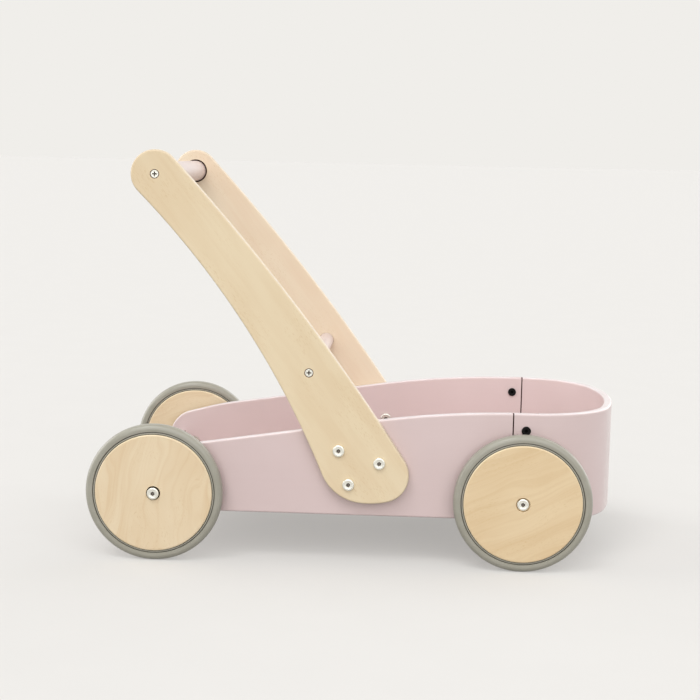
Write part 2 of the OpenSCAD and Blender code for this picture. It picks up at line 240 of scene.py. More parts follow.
def meet(c1: Vector, d1: float, c2: Vector, d2: float, turn: int) -> Vector:
    """Point at given distances from two centres.

    Args:
        c1: first centre.
        d1: distance from the first centre.
        c2: second centre.
        d2: distance from the second centre.
        turn: 1 for the point on the left of the line from the first centre to the second, -1 for the right.

    Returns:
        The point.
    """
    line = c2 - c1
    gap = line.length
    along = (d1 * d1 - d2 * d2 + gap * gap) / (2 * gap)
    across = math.sqrt(d1 * d1 - along * along)
    return c1 + line * (along / gap) + turn * left_of(line) * (across / gap)


def rounded_outline(
    points: Sequence[Vector], radii: Sequence[float], inset: float, steps: Sequence[int]
) -> list[Vector]:
    """Convex outline with round corners, set in.

    Args:
        points: the corners, turning left.
        radii: radius of each corner before the outline is set in.
        inset: how far the outline is set in.
        steps: stretches of each corner's arc.

    Returns:
        The points of the outline.
    """
    outline = []
    for i, (p, radius) in enumerate(zip(points, radii)):
        u = (points[i - 1] - p).normalized()
        v = (points[(i + 1) % len(points)] - p).normalized()
        half = math.acos(u.dot(v)) / 2
        centre = p + (u + v).normalized() * radius / math.sin(half)
        start = bearing(centre, p + u * radius / math.tan(half))
        outline += arc(centre, radius - inset, start, start + math.pi - 2 * half, steps[i], last=True)
    return outline


def axle(middle: Vector, out: float = 1.0) -> Placer:
    """Places pieces turned about an axis along Y, with their heights along Y (1) or against it (-1)."""
    return lambda x, y, h: Vector((middle.x + x, middle.y + out * h, middle.z + y))


def turned_grain(x: float, y: float, h: float) -> Vector:
    """Grain attribute of turned and moulded pieces: radius, angle and height."""
    return Vector((math.hypot(x, y), math.atan2(y, x), h))


class Shell:
    """Points and faces of one piece while it is being made."""

    def __init__(self) -> None:
        """Starts with no points and no faces."""
        self.points: list[Vector] = []
        self.grain: list[Grain] = []
        self.edge: list[float] = []
        self.faces: list[tuple[int, ...]] = []

    def add(self, point: Vector, edge: float = 0.0, grain: Grain = (0.0, 0.0, 0.0)) -> int:
        """Adds one point.

        Args:
            point: where it is.
            edge: how much it belongs to a rounded edge.
            grain: along the fibres, across them, and the ply.

        Returns:
            The number of the point.
        """
        self.points.append(point)
        self.grain.append(grain)
        self.edge.append(edge)
        return len(self.points) - 1

    def skin(self, rows: Sequence[Sequence[int]], closed: bool = True, wrap: bool = False) -> None:
        """Joins rows of points with faces.

        Args:
            rows: the rows; a row may be a single point.
            closed: whether each row runs round.
            wrap: whether the last row joins the first.
        """
        for low, high in zip(rows, [*rows[1:], rows[0]] if wrap else rows[1:]):
            count = max(len(low), len(high))
            for i in range(count if closed else count - 1):
                j = i + 1
                corners = (low[i % len(low)], low[j % len(low)], high[j % len(high)], high[i % len(high)])
                self.faces.append(tuple(dict.fromkeys(corners)))

    def turn(
        self,
        rings: Sequence[Ring],
        place: Placer,
        steps: int,
        grain: Placer = turned_grain,
        hollow: bool = False,
    ) -> None:
        """Piece turned about an axis.

        Args:
            rings: the rings in order; a ring of no size is a point on the axis.
            place: puts two coordinates across the axis and one along it in the frame.
            steps: points in each ring.
            grain: gives the grain attribute from the same three coordinates.
            hollow: whether the last ring joins the first, as in a tube.
        """
        rows = []
        for ring in rings:
            row = []
            for i in range(steps if ring.r > WELD else 1):
                angle = math.tau * i / steps
                x, y = ring.section.reach(ring.r, angle) * polar(angle)
                row.append(self.add(place(x, y, ring.h), ring.edge, tuple(grain(x, y, ring.h))))
            rows.append(row)
        self.skin(rows, wrap=hollow)

    def block(self, low: Sequence[float], high: Sequence[float]) -> None:
        """Plain box, used as a cutter.

        Args:
            low: lowest corner.
            high: highest corner.
        """
        base = [(low[0], low[1]), (high[0], low[1]), (high[0], high[1]), (low[0], high[1])]
        rows = [[self.add(Vector((*corner, z))) for corner in base] for z in (low[2], high[2])]
        self.skin(rows)
        self.faces.extend(tuple(row) for row in rows)

    def drill(
        self, boxes: Sequence[Box], side: Side, y0: float, y1: float, r0: float, r1: float | None = None
    ) -> None:
        """Round or conical cutter along Y for each piece that isn't on the other side.

        Args:
            boxes: boxes of the pieces that pass through.
            side: side of the walker.
            y0: distance of one end from the middle of the walker.
            y1: distance of the other end.
            r0: radius at the first end.
            r1: radius at the other end, if it differs.
        """
        start, stop = side.value * y0, side.value * y1
        rings = (Ring(0, start), Ring(r0, start), Ring(r0 if r1 is None else r1, stop), Ring(0, stop))
        for x, y, z in (box.middle for box in boxes):
            if side.value * y > -WELD:
                self.turn(rings, axle(Vector((x, 0, z))), BORE_STEPS)

    def piece(self, name: str, finish: "Finish") -> Piece:
        """Makes the object.

        Args:
            name: its name.
            finish: its finish.

        Returns:
            The object, linked into the scene.
        """
        mesh = bpy.data.meshes.new(name)
        mesh.from_pydata(self.points, [], self.faces)
        grain = mesh.attributes.new("grain", "FLOAT_VECTOR", "POINT")
        grain.data.foreach_set("vector", [value for triple in self.grain for value in triple])
        mesh.attributes.new("edge", "FLOAT", "POINT").data.foreach_set("value", self.edge)
        shaped = bmesh.new()
        shaped.from_mesh(mesh)
        bmesh.ops.recalc_face_normals(shaped, faces=shaped.faces)
        shaped.to_mesh(mesh)
        shaped.free()
        smooth(mesh)
        mesh.materials.append(finish.material())
        made = bpy.data.objects.new(name, mesh)
        bpy.context.scene.collection.objects.link(made)
        return made


@dataclass(frozen=True)
class Plate:
    """Flat plywood plate with rounded edges; its matrix takes plane coordinates and depth to the frame."""

    outline: Outline
    thickness: float
    place: Matrix
    edge_r: float
    plies: int
    along: Sequence[float] = (1.0, 0.0)

    def grain(self, point: Vector) -> Grain:
        """Grain attribute at a point; the faces lie in the middle of the sanded outer plies.

        Args:
            point: the point in the frame.

        Returns:
            Distance along the fibres, distance across them, and the ply.
        """
        u, v, depth = self.place.inverted() @ point
        flat, along = Vector((u, v)), Vector(self.along)
        return flat.dot(along), flat.dot(left_of(along)), FACE_PLY + depth / self.thickness * (self.plies - 1)

    def build(self, name: str, finish: "Finish", *cutters: Shell) -> Piece:
        """Makes the plate and cuts it.

        Args:
            name: name of the piece.
            finish: its finish.
            cutters: shapes to take away.

        Returns:
            The piece.
        """
        shell = Shell()
        rows = []
        for inset, depth, edge in edge_steps(self.thickness, self.edge_r):
            rows.append([shell.add(self.place @ Vector((*p, depth)), edge) for p in self.outline(inset)])
        shell.skin(rows)
        shell.faces.extend((tuple(rows[0]), tuple(rows[-1])))
        piece = shell.piece(name, finish)
        for cutter in cutters:
            carve(piece, cutter)
        mark(piece, self.grain)
        return piece


def axes(u: Sequence[float], v: Sequence[float], depth: Sequence[float], origin: Sequence[float]) -> Matrix:
    """Matrix from the two axes of a plane, the axis through it, and where all three are 0."""
    return Matrix([[u[k], v[k], depth[k], origin[k]] for k in range(3)] + [[0, 0, 0, 1]])


def smooth(mesh: bpy.types.Mesh) -> None:
    """Shades a mesh smooth up to the angle of a real edge."""
    mesh.shade_smooth()
    mesh.set_sharp_from_angle(angle=SMOOTH_ANGLE)


def mark(piece: Piece, grain: Callable[[Vector], Grain]) -> None:
    """Writes the grain attribute of a piece from the places of its points."""
    values = [value for vert in piece.data.vertices for value in grain(vert.co)]
    piece.data.attributes["grain"].data.foreach_set("vector", values)


def carve(piece: Piece, cutter: Shell) -> None:
    """Cuts holes and grooves into a piece; the cut faces get a dark brown that paints the shade in seams and
    sockets.

    Args:
        piece: the piece to cut.
        cutter: the shapes to take away.
    """
    tool = cutter.piece(piece.name + "_cutter", PAINTED_SHADE_CUT)
    cut = piece.modifiers.new("carve", "BOOLEAN")
    cut.operation = "DIFFERENCE"
    cut.solver = "EXACT"
    cut.use_self = True
    cut.material_mode = "TRANSFER"
    cut.object = tool
    carved = bpy.data.meshes.new_from_object(piece.evaluated_get(bpy.context.evaluated_depsgraph_get()))
    piece.modifiers.clear()
    piece.data = carved
    bpy.data.objects.remove(tool)
    smooth(carved)


def edge_steps(thickness: float, edge_r: float) -> Iterator[tuple[float, float, float]]:
    """Walks over the rounded edge of a plate from one face to the other; a flat rim keeps the faces flat.

    Args:
        thickness: thickness of the plate.
        edge_r: radius of its edges.

    Yields:
        Inset of the outline, depth from the first face and amount of edge.
    """
    # The amount of edge is where the finishes lay a paler colour, a painted highlight as well as wear.
    turns = [(math.sin(a), math.cos(a)) for a in quarter(EDGE_STEPS)]
    low = [(edge_r * (1 - s), edge_r * (1 - c), s) for s, c in turns]
    yield edge_r + FLAT_RIM, 0.0, 0.0
    yield from low
    for inset, depth, edge in reversed(low):
        yield inset, thickness - depth, edge
    yield edge_r + FLAT_RIM, thickness, 0.0


@cache
def solids(node: str) -> list[Box]:
    """Boxes of the separate solids of a CAD node.

    Args:
        node: name of the node.

    Returns:
        The boxes, sorted by place.
    """
    mesh = bmesh.new()
    mesh.from_mesh(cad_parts[node].data)
    bmesh.ops.remove_doubles(mesh, verts=mesh.verts, dist=WELD)
    left = set(mesh.verts)
    boxes = []
    while left:
        wave = [left.pop()]
        island = []
        while wave:
            vert = wave.pop()
            island.append(vert.co.copy())
            near = {edge.other_vert(vert) for edge in vert.link_edges} & left
            left -= near
            wave.extend(near)
        boxes.append(Box(*(Vector([pick(p[k] for p in island) for k in range(3)]) for pick in (min, max))))
    mesh.free()
    return sorted(boxes, key=lambda box: tuple(round(c, 4) for c in box.low))


class Graph:
    """Adds nodes to a shader tree and wires them; its methods return outputs."""

    def __init__(self, tree: bpy.types.NodeTree) -> None:
        """Works on the given tree."""
        self.tree = tree

    @cached_property
    def grain(self) -> Socket:
        """The grain attribute of the mesh."""
        return self.node("Attribute", attribute_name="grain").outputs["Vector"]

    @cached_property
    def edge(self) -> Socket:
        """The edge attribute of the mesh."""
        return self.node("Attribute", attribute_name="edge").outputs["Fac"]

    @cached_property
    def place(self) -> Socket:
        """Place on the piece."""
        return self.node("TexCoord").outputs["Object"]

    @cached_property
    def seen(self) -> Socket:
        """1 on rays that show a surface to the eye, straight, in a reflection or through glass.

        Returns:
            The value.
        """
        path = self.node("LightPath").outputs
        mirrored_ray = self.math("MAXIMUM", path["Is Glossy Ray"], path["Is Transmission Ray"])
        return self.math("MAXIMUM", path["Is Camera Ray"], mirrored_ray)

    def feed(self, socket: Socket, value: Any) -> None:
        """Links a socket to an output, or sets its value.

        Args:
            socket: the input socket.
            value: an output or a constant.
        """
        if isinstance(value, Socket):
            self.tree.links.new(value, socket)
        else:
            socket.default_value = value

    def node(self, kind: str, inputs: dict[Any, Any] | None = None, **settings: Any) -> bpy.types.Node:
        """Adds a node.

        Args:
            kind: type of the node, without the common prefix.
            inputs: values or outputs for its inputs, by name or number.
            settings: properties of the node.

        Returns:
            The node.
        """
        made = self.tree.nodes.new("ShaderNode" + kind)
        for name, value in settings.items():
            setattr(made, name, value)
        for name, value in (inputs or {}).items():
            self.feed(made.inputs[name], value)
        return made

    def math(self, operation: str, a: Any, b: Any = 0.0, clamp: bool = False) -> Socket:
        """Result of a math node."""
        return self.node("Math", {0: a, 1: b}, operation=operation, use_clamp=clamp).outputs[0]

    def times(self, a: Any, b: Any, clamp: bool = False) -> Socket:
        """Product of two values."""
        return self.math("MULTIPLY", a, b, clamp)

    def plus(self, a: Any, b: Any, clamp: bool = False) -> Socket:
        """Sum of two values."""
        return self.math("ADD", a, b, clamp)

    def minus(self, a: Any, b: Any) -> Socket:
        """Difference of two values."""
        return self.math("SUBTRACT", a, b)

    def from_middle(self, value: Any, middle: float) -> Socket:
        """Distance of a value from a middle value."""
        return self.math("ABSOLUTE", self.minus(value, middle))

    def parts(self, vector: Socket) -> list[Socket]:
        """The three parts of a vector."""
        return list(self.node("SeparateXYZ", {0: vector}).outputs)

    def joined(self, *parts: Socket) -> Socket:
        """A vector from its three parts."""
        return self.node("CombineXYZ", dict(enumerate(parts))).outputs[0]

    def mix(self, factor: Any, a: Any, b: Any) -> Socket:
        """Mix of two colours."""
        return self.node("Mix", {0: factor, 6: a, 7: b}, data_type="RGBA").outputs[2]

    def stretch(self, vector: Socket, *scale: float) -> Socket:
        """A vector times a scale for each of its parts."""
        return self.node("VectorMath", {0: vector, 1: scale}, operation="MULTIPLY").outputs[0]

    def noise(self, vector: Socket, scale: Any = 1.0, detail: float = 2.0, roughness: float = 0.5) -> Socket:
        """Value of a noise texture."""
        inputs = {"Vector": vector, "Scale": scale, "Detail": detail, "Roughness": roughness}
        return self.node("TexNoise", inputs).outputs[0]

    def ramp(
        self, value: Any, low: float, high: float, out_low: float = 0.0, out_high: float = 1.0
    ) -> Socket:
        """A range of a value mapped onto another, with soft ends."""
        inputs = {"Value": value, "From Min": low, "From Max": high, "To Min": out_low, "To Max": out_high}
        return self.node("MapRange", inputs, interpolation_type="SMOOTHSTEP").outputs[0]

    def bump(self, height: Any, distance: float, strength: float, **normal: Socket) -> Socket:
        """Normal of a bump node, on top of another Normal if one is given."""
        inputs = {"Height": height, "Distance": distance, "Strength": strength, **normal}
        return self.node("Bump", inputs).outputs[0]

    def group(self, tree: bpy.types.NodeTree, **inputs: Any) -> bpy.types.NodeOutputs:
        """Outputs of a node group with its own values."""
        return self.node("Group", inputs, node_tree=tree).outputs

    def worn_and_lit(self, amount: float) -> Socket:
        """Mask of the rubbed edges; it also paints the highlight that rounded edges catch."""
        return self.group(Effects.edge_wear_and_highlight(), Edge=self.edge, Place=self.place, Amount=amount)["Mask"]

    def skin(self, pebble: float) -> bpy.types.NodeOutputs:
        """Tone, smears and height of a sprayed or moulded skin."""
        return self.group(Effects.mottle(), Place=self.place, Pebble=pebble)

    def painted_shade(self) -> Socket:
        """Mask of the recesses, which a darker colour paints as shade."""
        return self.times(self.edge, -1.0, clamp=True)


class Effects:
    """Shader node groups that several finishes share, each made once."""

    VECTORS = ("Grain", "Place")

    @classmethod
    def start(cls, name: str, *takes: str) -> tuple[Graph, list[Socket]]:
        """Opens a new group.

        Args:
            name: name of the group.
            takes: its inputs, values apart from the vectors.

        Returns:
            The graph of the group and its inputs.
        """
        g = Graph(bpy.data.node_groups.new(name, "ShaderNodeTree"))
        for label in takes:
            kind = "NodeSocketVector" if label in cls.VECTORS else "NodeSocketFloat"
            g.tree.interface.new_socket(label, in_out="INPUT", socket_type=kind)
        return g, list(g.tree.nodes.new("NodeGroupInput").outputs)[: len(takes)]

    @staticmethod
    def close(g: Graph, **gives: Socket) -> bpy.types.NodeTree:
        """Gives a group its outputs.

        Args:
            g: graph of the group.
            gives: the outputs, all values.

        Returns:
            The group.
        """
        for label in gives:
            g.tree.interface.new_socket(label, in_out="OUTPUT", socket_type="NodeSocketFloat")
        end = g.tree.nodes.new("NodeGroupOutput")
        for label, value in gives.items():
            g.feed(end.inputs[label], value)
        return g.tree

    @staticmethod
    @cache
    def wood_grain() -> bpy.types.NodeTree:
        """Birch figure: broad clouds, wavy growth lines, fine fibres and short flecks.

        Returns:
            The group.
        """
        g, (grain, waviness) = Effects.start("wood_grain", "Grain", "Waviness")
        along, across, ply = g.parts(grain)
        sway = g.times(g.minus(g.noise(g.stretch(grain, 7.0, 19.0, 1.0)), 0.5), waviness)
        wavy = g.joined(along, g.plus(across, sway), g.math("FLOOR", ply))
        cloud = g.noise(g.stretch(wavy, 9.0, 34.0, 7.3), detail=3.0)
        lines = g.noise(g.stretch(wavy, 5.0, 210.0, 7.3), roughness=0.6)
        fibre = g.noise(g.stretch(wavy, 60.0, 2600.0, 7.3), detail=1.0)
        speck = g.noise(g.stretch(wavy, 260.0, 1400.0, 7.3), detail=0.0)
        patch = g.noise(g.stretch(wavy, 12.0, 40.0, 3.1), detail=1.0)
        fleck = g.times(g.ramp(speck, 0.64, 0.74), g.ramp(patch, 0.42, 0.68))
        height = g.minus(g.times(fibre, 0.6), g.times(fleck, 0.4))
        figure = {"Cloud": g.ramp(cloud, 0.32, 0.68), "Lines": g.ramp(lines, 0.42, 0.72)}
        return Effects.close(g, **figure, Fleck=fleck, Height=height)

    @staticmethod
    @cache
    def ply_layers() -> bpy.types.NodeTree:
        """Which plies run crosswise, the thin glue lines between plies, and small voids in the cross plies.

        Returns:
            The group.
        """
        g, (grain,) = Effects.start("ply_layers", "Grain")
        ply = g.parts(grain)[2]
        cross = g.ramp(g.from_middle(g.math("FRACT", g.times(ply, 0.5)), 0.75), 0.25, 0.22)
        seam = g.from_middle(g.math("FRACT", g.plus(ply, 0.5)), 0.5)
        gap = g.ramp(g.noise(g.stretch(grain, 1.0, 1.0, 0.002), 95.0, 0.0), 0.70, 0.73)
        return Effects.close(g, Cross=cross, Glue=g.ramp(seam, 0.10, 0.03), Void=g.times(gap, cross))

    @staticmethod
    @cache
    def edge_wear_and_highlight() -> bpy.types.NodeTree:
        """Uneven rubbing along rounded edges, which also paints the highlight that they catch.

        Returns:
            The group.
        """
        g, (edge, place, amount) = Effects.start("edge_wear_and_highlight", "Edge", "Place", "Amount")
        broad = g.ramp(g.noise(place, 38.0, 3.0), 0.35, 0.7, 0.65, 1.0)
        fine = g.ramp(g.noise(place, 420.0), 0.3, 0.7, 0.8, 1.0)
        rubbed_and_lit = g.times(g.ramp(edge, 0.25, 1.0), g.times(broad, fine))
        return Effects.close(g, Mask=g.times(rubbed_and_lit, amount, clamp=True))

    @staticmethod
    @cache
    def mottle() -> bpy.types.NodeTree:
        """Soft blotches of tone, and the fine pebbling of a sprayed or moulded skin.

        Returns:
            The group.
        """
        g, (place, pebble) = Effects.start("mottle", "Place", "Pebble")
        tone = g.ramp(g.noise(place, 11.0, 4.0, 0.55), 0.3, 0.7)
        smear = g.ramp(g.noise(g.stretch(place, 1.0, 1.0, 2.4), 30.0, 3.0, 0.6), 0.35, 0.75)
        return Effects.close(g, Tone=tone, Smear=smear, Height=g.noise(place, pebble, roughness=0.55))

    @staticmethod
    @cache
    def turned_marks() -> bpy.types.NodeTree:
        """Fine rings left by turning, read from the radius in the grain attribute, and scuffs.

        Returns:
            The group.
        """
        g, (grain,) = Effects.start("turned_marks", "Grain")
        rings = g.noise(g.stretch(grain, 4200.0, 60.0, 900.0), detail=1.0)
        return Effects.close(g, Rings=rings, Scuff=g.ramp(g.noise(grain, 700.0, 3.0), 0.35, 0.75))


@dataclass(frozen=True)
class Finish:
    """A finish: makes its material once. Shares run from 0 to 1; a relief is a bump's depth and strength."""

    name: str

    @cache
    def material(self) -> bpy.types.Material:
        """The material, made at its first use.

        Returns:
            The material.
        """
        made = bpy.data.materials.new(self.name)
        made.use_nodes = True
        made.node_tree.nodes.clear()
        g = Graph(made.node_tree)
        shader = g.node("BsdfPrincipled", self.dress(g))
        g.node("OutputMaterial", {0: self.surface(g, shader.outputs[0])})
        return made

    def dress(self, g: Graph) -> dict[str, Any]:
        """Values and outputs for the shader's inputs; each finish has its own."""
        raise NotImplementedError

    def surface(self, g: Graph, shader: Socket) -> Socket:
        """The whole surface, which for most finishes is the shader alone."""
        return shader


@dataclass(frozen=True)
class BirchPly(Finish):
    """Lacquered birch plywood, with its plies on the edges."""

    light: Colour
    dark: Colour
    fleck: Colour = srgb(200, 168, 116)
    end_grain: Colour = srgb(205, 172, 124)
    glue: Colour = srgb(150, 112, 74)
    # paler colour on rounded edges: a painted highlight as well as wear
    rubbed_and_lit: Colour = srgb(242, 229, 202)
    void: Colour = srgb(66, 42, 30)
    cloud_share: float = 0.6
    line_share: float = 0.35
    fleck_share: float = 0.35
    cross_share: float = 0.3
    glue_share: float = 0.25
    void_share: float = 0.0
    wear_and_highlight: float = 0.6
    waviness: float = 0.012
    roughness: float = 0.46
    cloud_roughness: float = 0.10
    polish: float = 0.08
    relief: tuple[float, float] = (0.0002, 0.35)
    gloss: float = 0.5
    lacquer: float = 0.12
    lacquer_roughness: float = 0.3

    def dress(self, g: Graph) -> dict[str, Any]:
        """Wires figure, flecks, plies and lacquer.

        Args:
            g: graph of the material.

        Returns:
            Values and outputs for the shader's inputs.
        """
        along, across, ply = g.parts(g.grain)
        layers = g.group(Effects.ply_layers(), Grain=g.grain)
        ways = {0: layers["Cross"], 4: g.grain, 5: g.joined(across, along, ply)}
        turned = g.node("Mix", ways, data_type="VECTOR").outputs[1]
        wood = g.group(Effects.wood_grain(), Grain=turned, Waviness=self.waviness)
        worn_and_lit = g.worn_and_lit(self.wear_and_highlight)
        figure = g.plus(g.times(wood["Cloud"], self.cloud_share), g.times(wood["Lines"], self.line_share))
        colour = g.mix(figure, self.light, self.dark)
        for share, tint in (
            (g.times(wood["Fleck"], self.fleck_share), self.fleck),
            (g.times(layers["Cross"], self.cross_share), self.end_grain),
            (worn_and_lit, self.rubbed_and_lit),
            (g.times(layers["Glue"], self.glue_share), self.glue),
            (g.times(layers["Void"], self.void_share), self.void),
        ):
            colour = g.mix(share, colour, tint)
        rough = g.plus(g.times(wood["Cloud"], self.cloud_roughness), self.roughness)
        return {
            "Base Color": colour,
            "Roughness": g.minus(rough, g.times(worn_and_lit, self.polish)),
            "Normal": g.bump(wood["Height"], *self.relief),
            "Specular IOR Level": self.gloss,
            "Coat Weight": self.lacquer,
            "Coat Roughness": self.lacquer_roughness,
        }


@dataclass(frozen=True)
class SatinPaint(Finish):
    """Satin paint on wood: blotches, fine pebbling, a trace of the fibres, and paler rounded edges that paint
    their highlight as well as wear.
    """

    colour: Colour
    deep: Colour
    # paler colour on rounded edges: a painted highlight as well as wear
    rubbed_and_lit: Colour
    tone_share: float = 0.5
    fibre: float = 0.1
    waviness: float = 0.01
    wear_and_highlight: float = 0.5
    pebble: float = 900.0
    roughness: float = 0.36
    smear_roughness: float = 0.10
    polish: float = 0.08
    fibre_relief: float = 0.0002
    relief: tuple[float, float] = (0.0001, 0.12)
    lacquer: float = 0.5
    lacquer_roughness: float = 0.14

    def dress(self, g: Graph) -> dict[str, Any]:
        """Wires blotches, fibres, wear with a painted edge highlight, and lacquer.

        Args:
            g: graph of the material.

        Returns:
            Values and outputs for the shader's inputs.
        """
        skin = g.skin(self.pebble)
        wood = g.group(Effects.wood_grain(), Grain=g.grain, Waviness=self.waviness)
        worn_and_lit = g.worn_and_lit(self.wear_and_highlight)
        tone = g.plus(g.times(skin["Tone"], self.tone_share), g.times(wood["Lines"], self.fibre))
        rough = g.plus(g.times(skin["Smear"], self.smear_roughness), self.roughness)
        raised = g.bump(wood["Height"], self.fibre_relief, self.fibre)
        return {
            "Base Color": g.mix(worn_and_lit, g.mix(tone, self.colour, self.deep), self.rubbed_and_lit),
            "Roughness": g.minus(rough, g.times(worn_and_lit, self.polish)),
            "Normal": g.bump(skin["Height"], *self.relief, Normal=raised),
            "Coat Weight": self.lacquer,
            "Coat Roughness": self.lacquer_roughness,
        }


@dataclass(frozen=True)
class Moulded(Finish):
    """Moulded rubber or plastic with a fine skin and dust; its edges are painted paler as a highlight and its
    grooves darker as shade.
    """

    colour: Colour
    dust_and_highlight: Colour
    # colour that paints shade in grooves and gaps
    painted_shade: Colour = srgb(62, 58, 50)
    pebble: float = 1300.0
    wear_and_highlight: float = 0.5
    smear_dust: float = 0.22
    edge_highlight: float = 0.4
    roughness: float = 0.3
    smear_roughness: float = 0.16
    relief: tuple[float, float] = (0.0001, 0.25)
    gloss: float = 0.5
    bloom: float = 0.3
    bloom_roughness: float = 0.24

    def dress(self, g: Graph) -> dict[str, Any]:
        """Wires tone, dust, a painted highlight on edges, painted shade in grooves and the moulded skin.

        Args:
            g: graph of the material.

        Returns:
            Values and outputs for the shader's inputs.
        """
        skin = g.skin(self.pebble)
        # Edges get the paler colour as a painted highlight; smears are dust.
        edges = g.times(g.worn_and_lit(self.wear_and_highlight), self.edge_highlight)
        dust_and_highlight_share = g.plus(g.times(skin["Smear"], self.smear_dust), edges, clamp=True)
        return {
            "Base Color": g.mix(g.painted_shade(), g.mix(dust_and_highlight_share, self.colour, self.dust_and_highlight), self.painted_shade),
            "Roughness": g.plus(g.times(skin["Smear"], self.smear_roughness), self.roughness),
            "Normal": g.bump(skin["Height"], *self.relief),
            "Specular IOR Level": self.gloss,
            "Coat Weight": self.bloom,
            "Coat Roughness": self.bloom_roughness,
        }


@dataclass(frozen=True)
class TurnedMetal(Finish):
    """Turned steel, bright or blackened, with rings, rubbed edges, and recesses painted darker as shade."""

    colour: Colour
    rubbed_and_lit: Colour
    metallic: float
    roughness: float
    # colour that paints shade in sockets and slots
    painted_shade: Colour = srgb(78, 60, 46)
    gloss: float = 0.5
    wear_and_highlight: float = 0.6
    scuff_roughness: float = 0.14
    painted_shade_roughness: float = 0.4
    relief: tuple[float, float] = (0.00005, 0.3)

    def dress(self, g: Graph) -> dict[str, Any]:
        """Wires rings, scuffs, edges and the painted shade in recesses.

        Args:
            g: graph of the material.

        Returns:
            Values and outputs for the shader's inputs.
        """
        marks = g.group(Effects.turned_marks(), Grain=g.grain)
        painted_shade = g.painted_shade()
        rough = g.plus(g.times(marks["Scuff"], self.scuff_roughness), self.roughness)
        return {
            "Base Color": g.mix(painted_shade, g.mix(g.worn_and_lit(self.wear_and_highlight), self.colour, self.rubbed_and_lit), self.painted_shade),
            "Roughness": g.plus(rough, g.times(painted_shade, self.painted_shade_roughness)),
            "Metallic": g.times(g.minus(1.0, painted_shade), self.metallic),
            "Normal": g.bump(marks["Rings"], *self.relief),
            "Specular IOR Level": self.gloss,
        }


@dataclass(frozen=True)
class PaleFloor(Finish):
    """Plain pale studio floor: part of its seen brightness is its own, and from below it is clear."""

    colour: Colour
    shade: Colour
    glow: Colour
    bounce: Colour
    glow_share: float = 0.42
    blotch_share: float = 0.4
    pebble: float = 160.0

    def dress(self, g: Graph) -> dict[str, Any]:
        """Wires faint blotches, and the tone that the floor throws back.

        Args:
            g: graph of the material.

        Returns:
            Values and outputs for the shader's inputs.
        """
        skin = g.skin(self.pebble)
        shown = g.mix(g.times(skin["Tone"], self.blotch_share), self.colour, self.shade)
        return {
            "Base Color": g.mix(g.seen, self.bounce, shown),
            "Roughness": g.ramp(skin["Smear"], 0.0, 1.0, 0.75, 0.85),
            "Specular IOR Level": 0.0,
        }

    def surface(self, g: Graph, shader: Socket) -> Socket:
        """Adds the glow, and clears the floor where it is seen from below.

        Args:
            g: graph of the material.
            shader: output of its shader.

        Returns:
            The whole surface.
        """
        glow = g.node("Emission", {0: self.glow, 1: 1.0}).outputs[0]
        share = g.times(g.seen, self.glow_share)
        mixed = g.node("MixShader", {0: share, 1: shader, 2: glow}).outputs[0]
        below = g.times(g.node("NewGeometry").outputs["Backfacing"], g.seen)
        clear = g.node("BsdfTransparent").outputs[0]
        return g.node("MixShader", {0: below, 1: mixed, 2: clear}).outputs[0]


PALE = srgb(240, 238, 234)
# On the arms and the discs, the paler rubbed colour on rounded edges paints their highlight as well as wear.
ARM_LOOK = {"rubbed_and_lit": srgb(212, 201, 184), "line_share": 0.2, "wear_and_highlight": 0.8}
DISC_LOOK = {"rubbed_and_lit": srgb(255, 242, 210), "wear_and_highlight": 0.95}
RIGHT_BIRCH = BirchPly("right_arm_birch", srgb(225, 207, 174), srgb(217, 194, 158), **ARM_LOOK)
# The left arm is paler than the right: painted light, making up for the shade that the right arm throws on
# it.
LEFT_BIRCH_PAINTED_LIGHTER = BirchPly("left_arm_birch_painted_lighter", srgb(230, 213, 187), srgb(225, 202, 174), **ARM_LOOK)
FRONT_BIRCH = BirchPly(
    "front_disc_birch",
    srgb(224, 201, 163),
    srgb(213, 185, 143),
    line_share=0.4,
    void_share=0.85,
    waviness=0.05,
    **DISC_LOOK,
)
REAR_BIRCH = BirchPly(
    "rear_disc_birch", srgb(226, 207, 175), srgb(217, 192, 155), line_share=0.5, waviness=0.11, **DISC_LOOK
)
# Dark brown for faces cut by carving: painted shade in the lap seams and in the gaps round the dowels and
# screws.
PAINTED_SHADE_CUT = BirchPly(
    "painted_shade_cut",
    srgb(80, 36, 26),
    srgb(60, 26, 20),
    rubbed_and_lit=srgb(86, 42, 32),
    glue=srgb(70, 34, 26),
    fleck_share=0.0,
    cross_share=0.0,
    roughness=0.7,
    gloss=0.1,
    lacquer=0.0,
)
# The paint's paler rubbed colour paints the highlight along the top edges and the floor's glint along the
# bottom edges, as well as wear.
PINK = SatinPaint(
    "dusty_pink_paint", srgb(211, 191, 189), srgb(206, 185, 183), srgb(226, 220, 221), wear_and_highlight=0.9
)
PALE_PINK = SatinPaint(
    "pale_pink_dowel", srgb(210, 194, 189), srgb(203, 184, 180), srgb(234, 222, 221), fibre=0.3, lacquer=0.2
)
GREY_RUBBER = Moulded("moulded_rubber", srgb(150, 147, 134), srgb(172, 170, 160))
ZINC = TurnedMetal("bright_zinc", srgb(224, 223, 214), srgb(243, 242, 235), 1.0, 0.26)
BLACK_STEEL = TurnedMetal(
    "blackened_steel", srgb(9, 8, 8), srgb(30, 29, 28), 0.0, 0.48, painted_shade=srgb(5, 5, 5), gloss=0.15
)
BLACK_NYLON = Moulded(
    "moulded_nylon",
    srgb(13, 13, 13),
    srgb(34, 34, 34),
    pebble=2200.0,
    wear_and_highlight=0.6,
    smear_dust=0.0,
    edge_highlight=1.0,
    roughness=0.45,
    smear_roughness=0.15,
    relief=(0.00005, 0.3),
    gloss=0.2,
    bloom=0.0,
)
STUDIO_FLOOR = PaleFloor(
    "studio_floor", srgb(213, 211, 208), srgb(210, 208, 205), PALE, srgb(160, 158, 156)
)


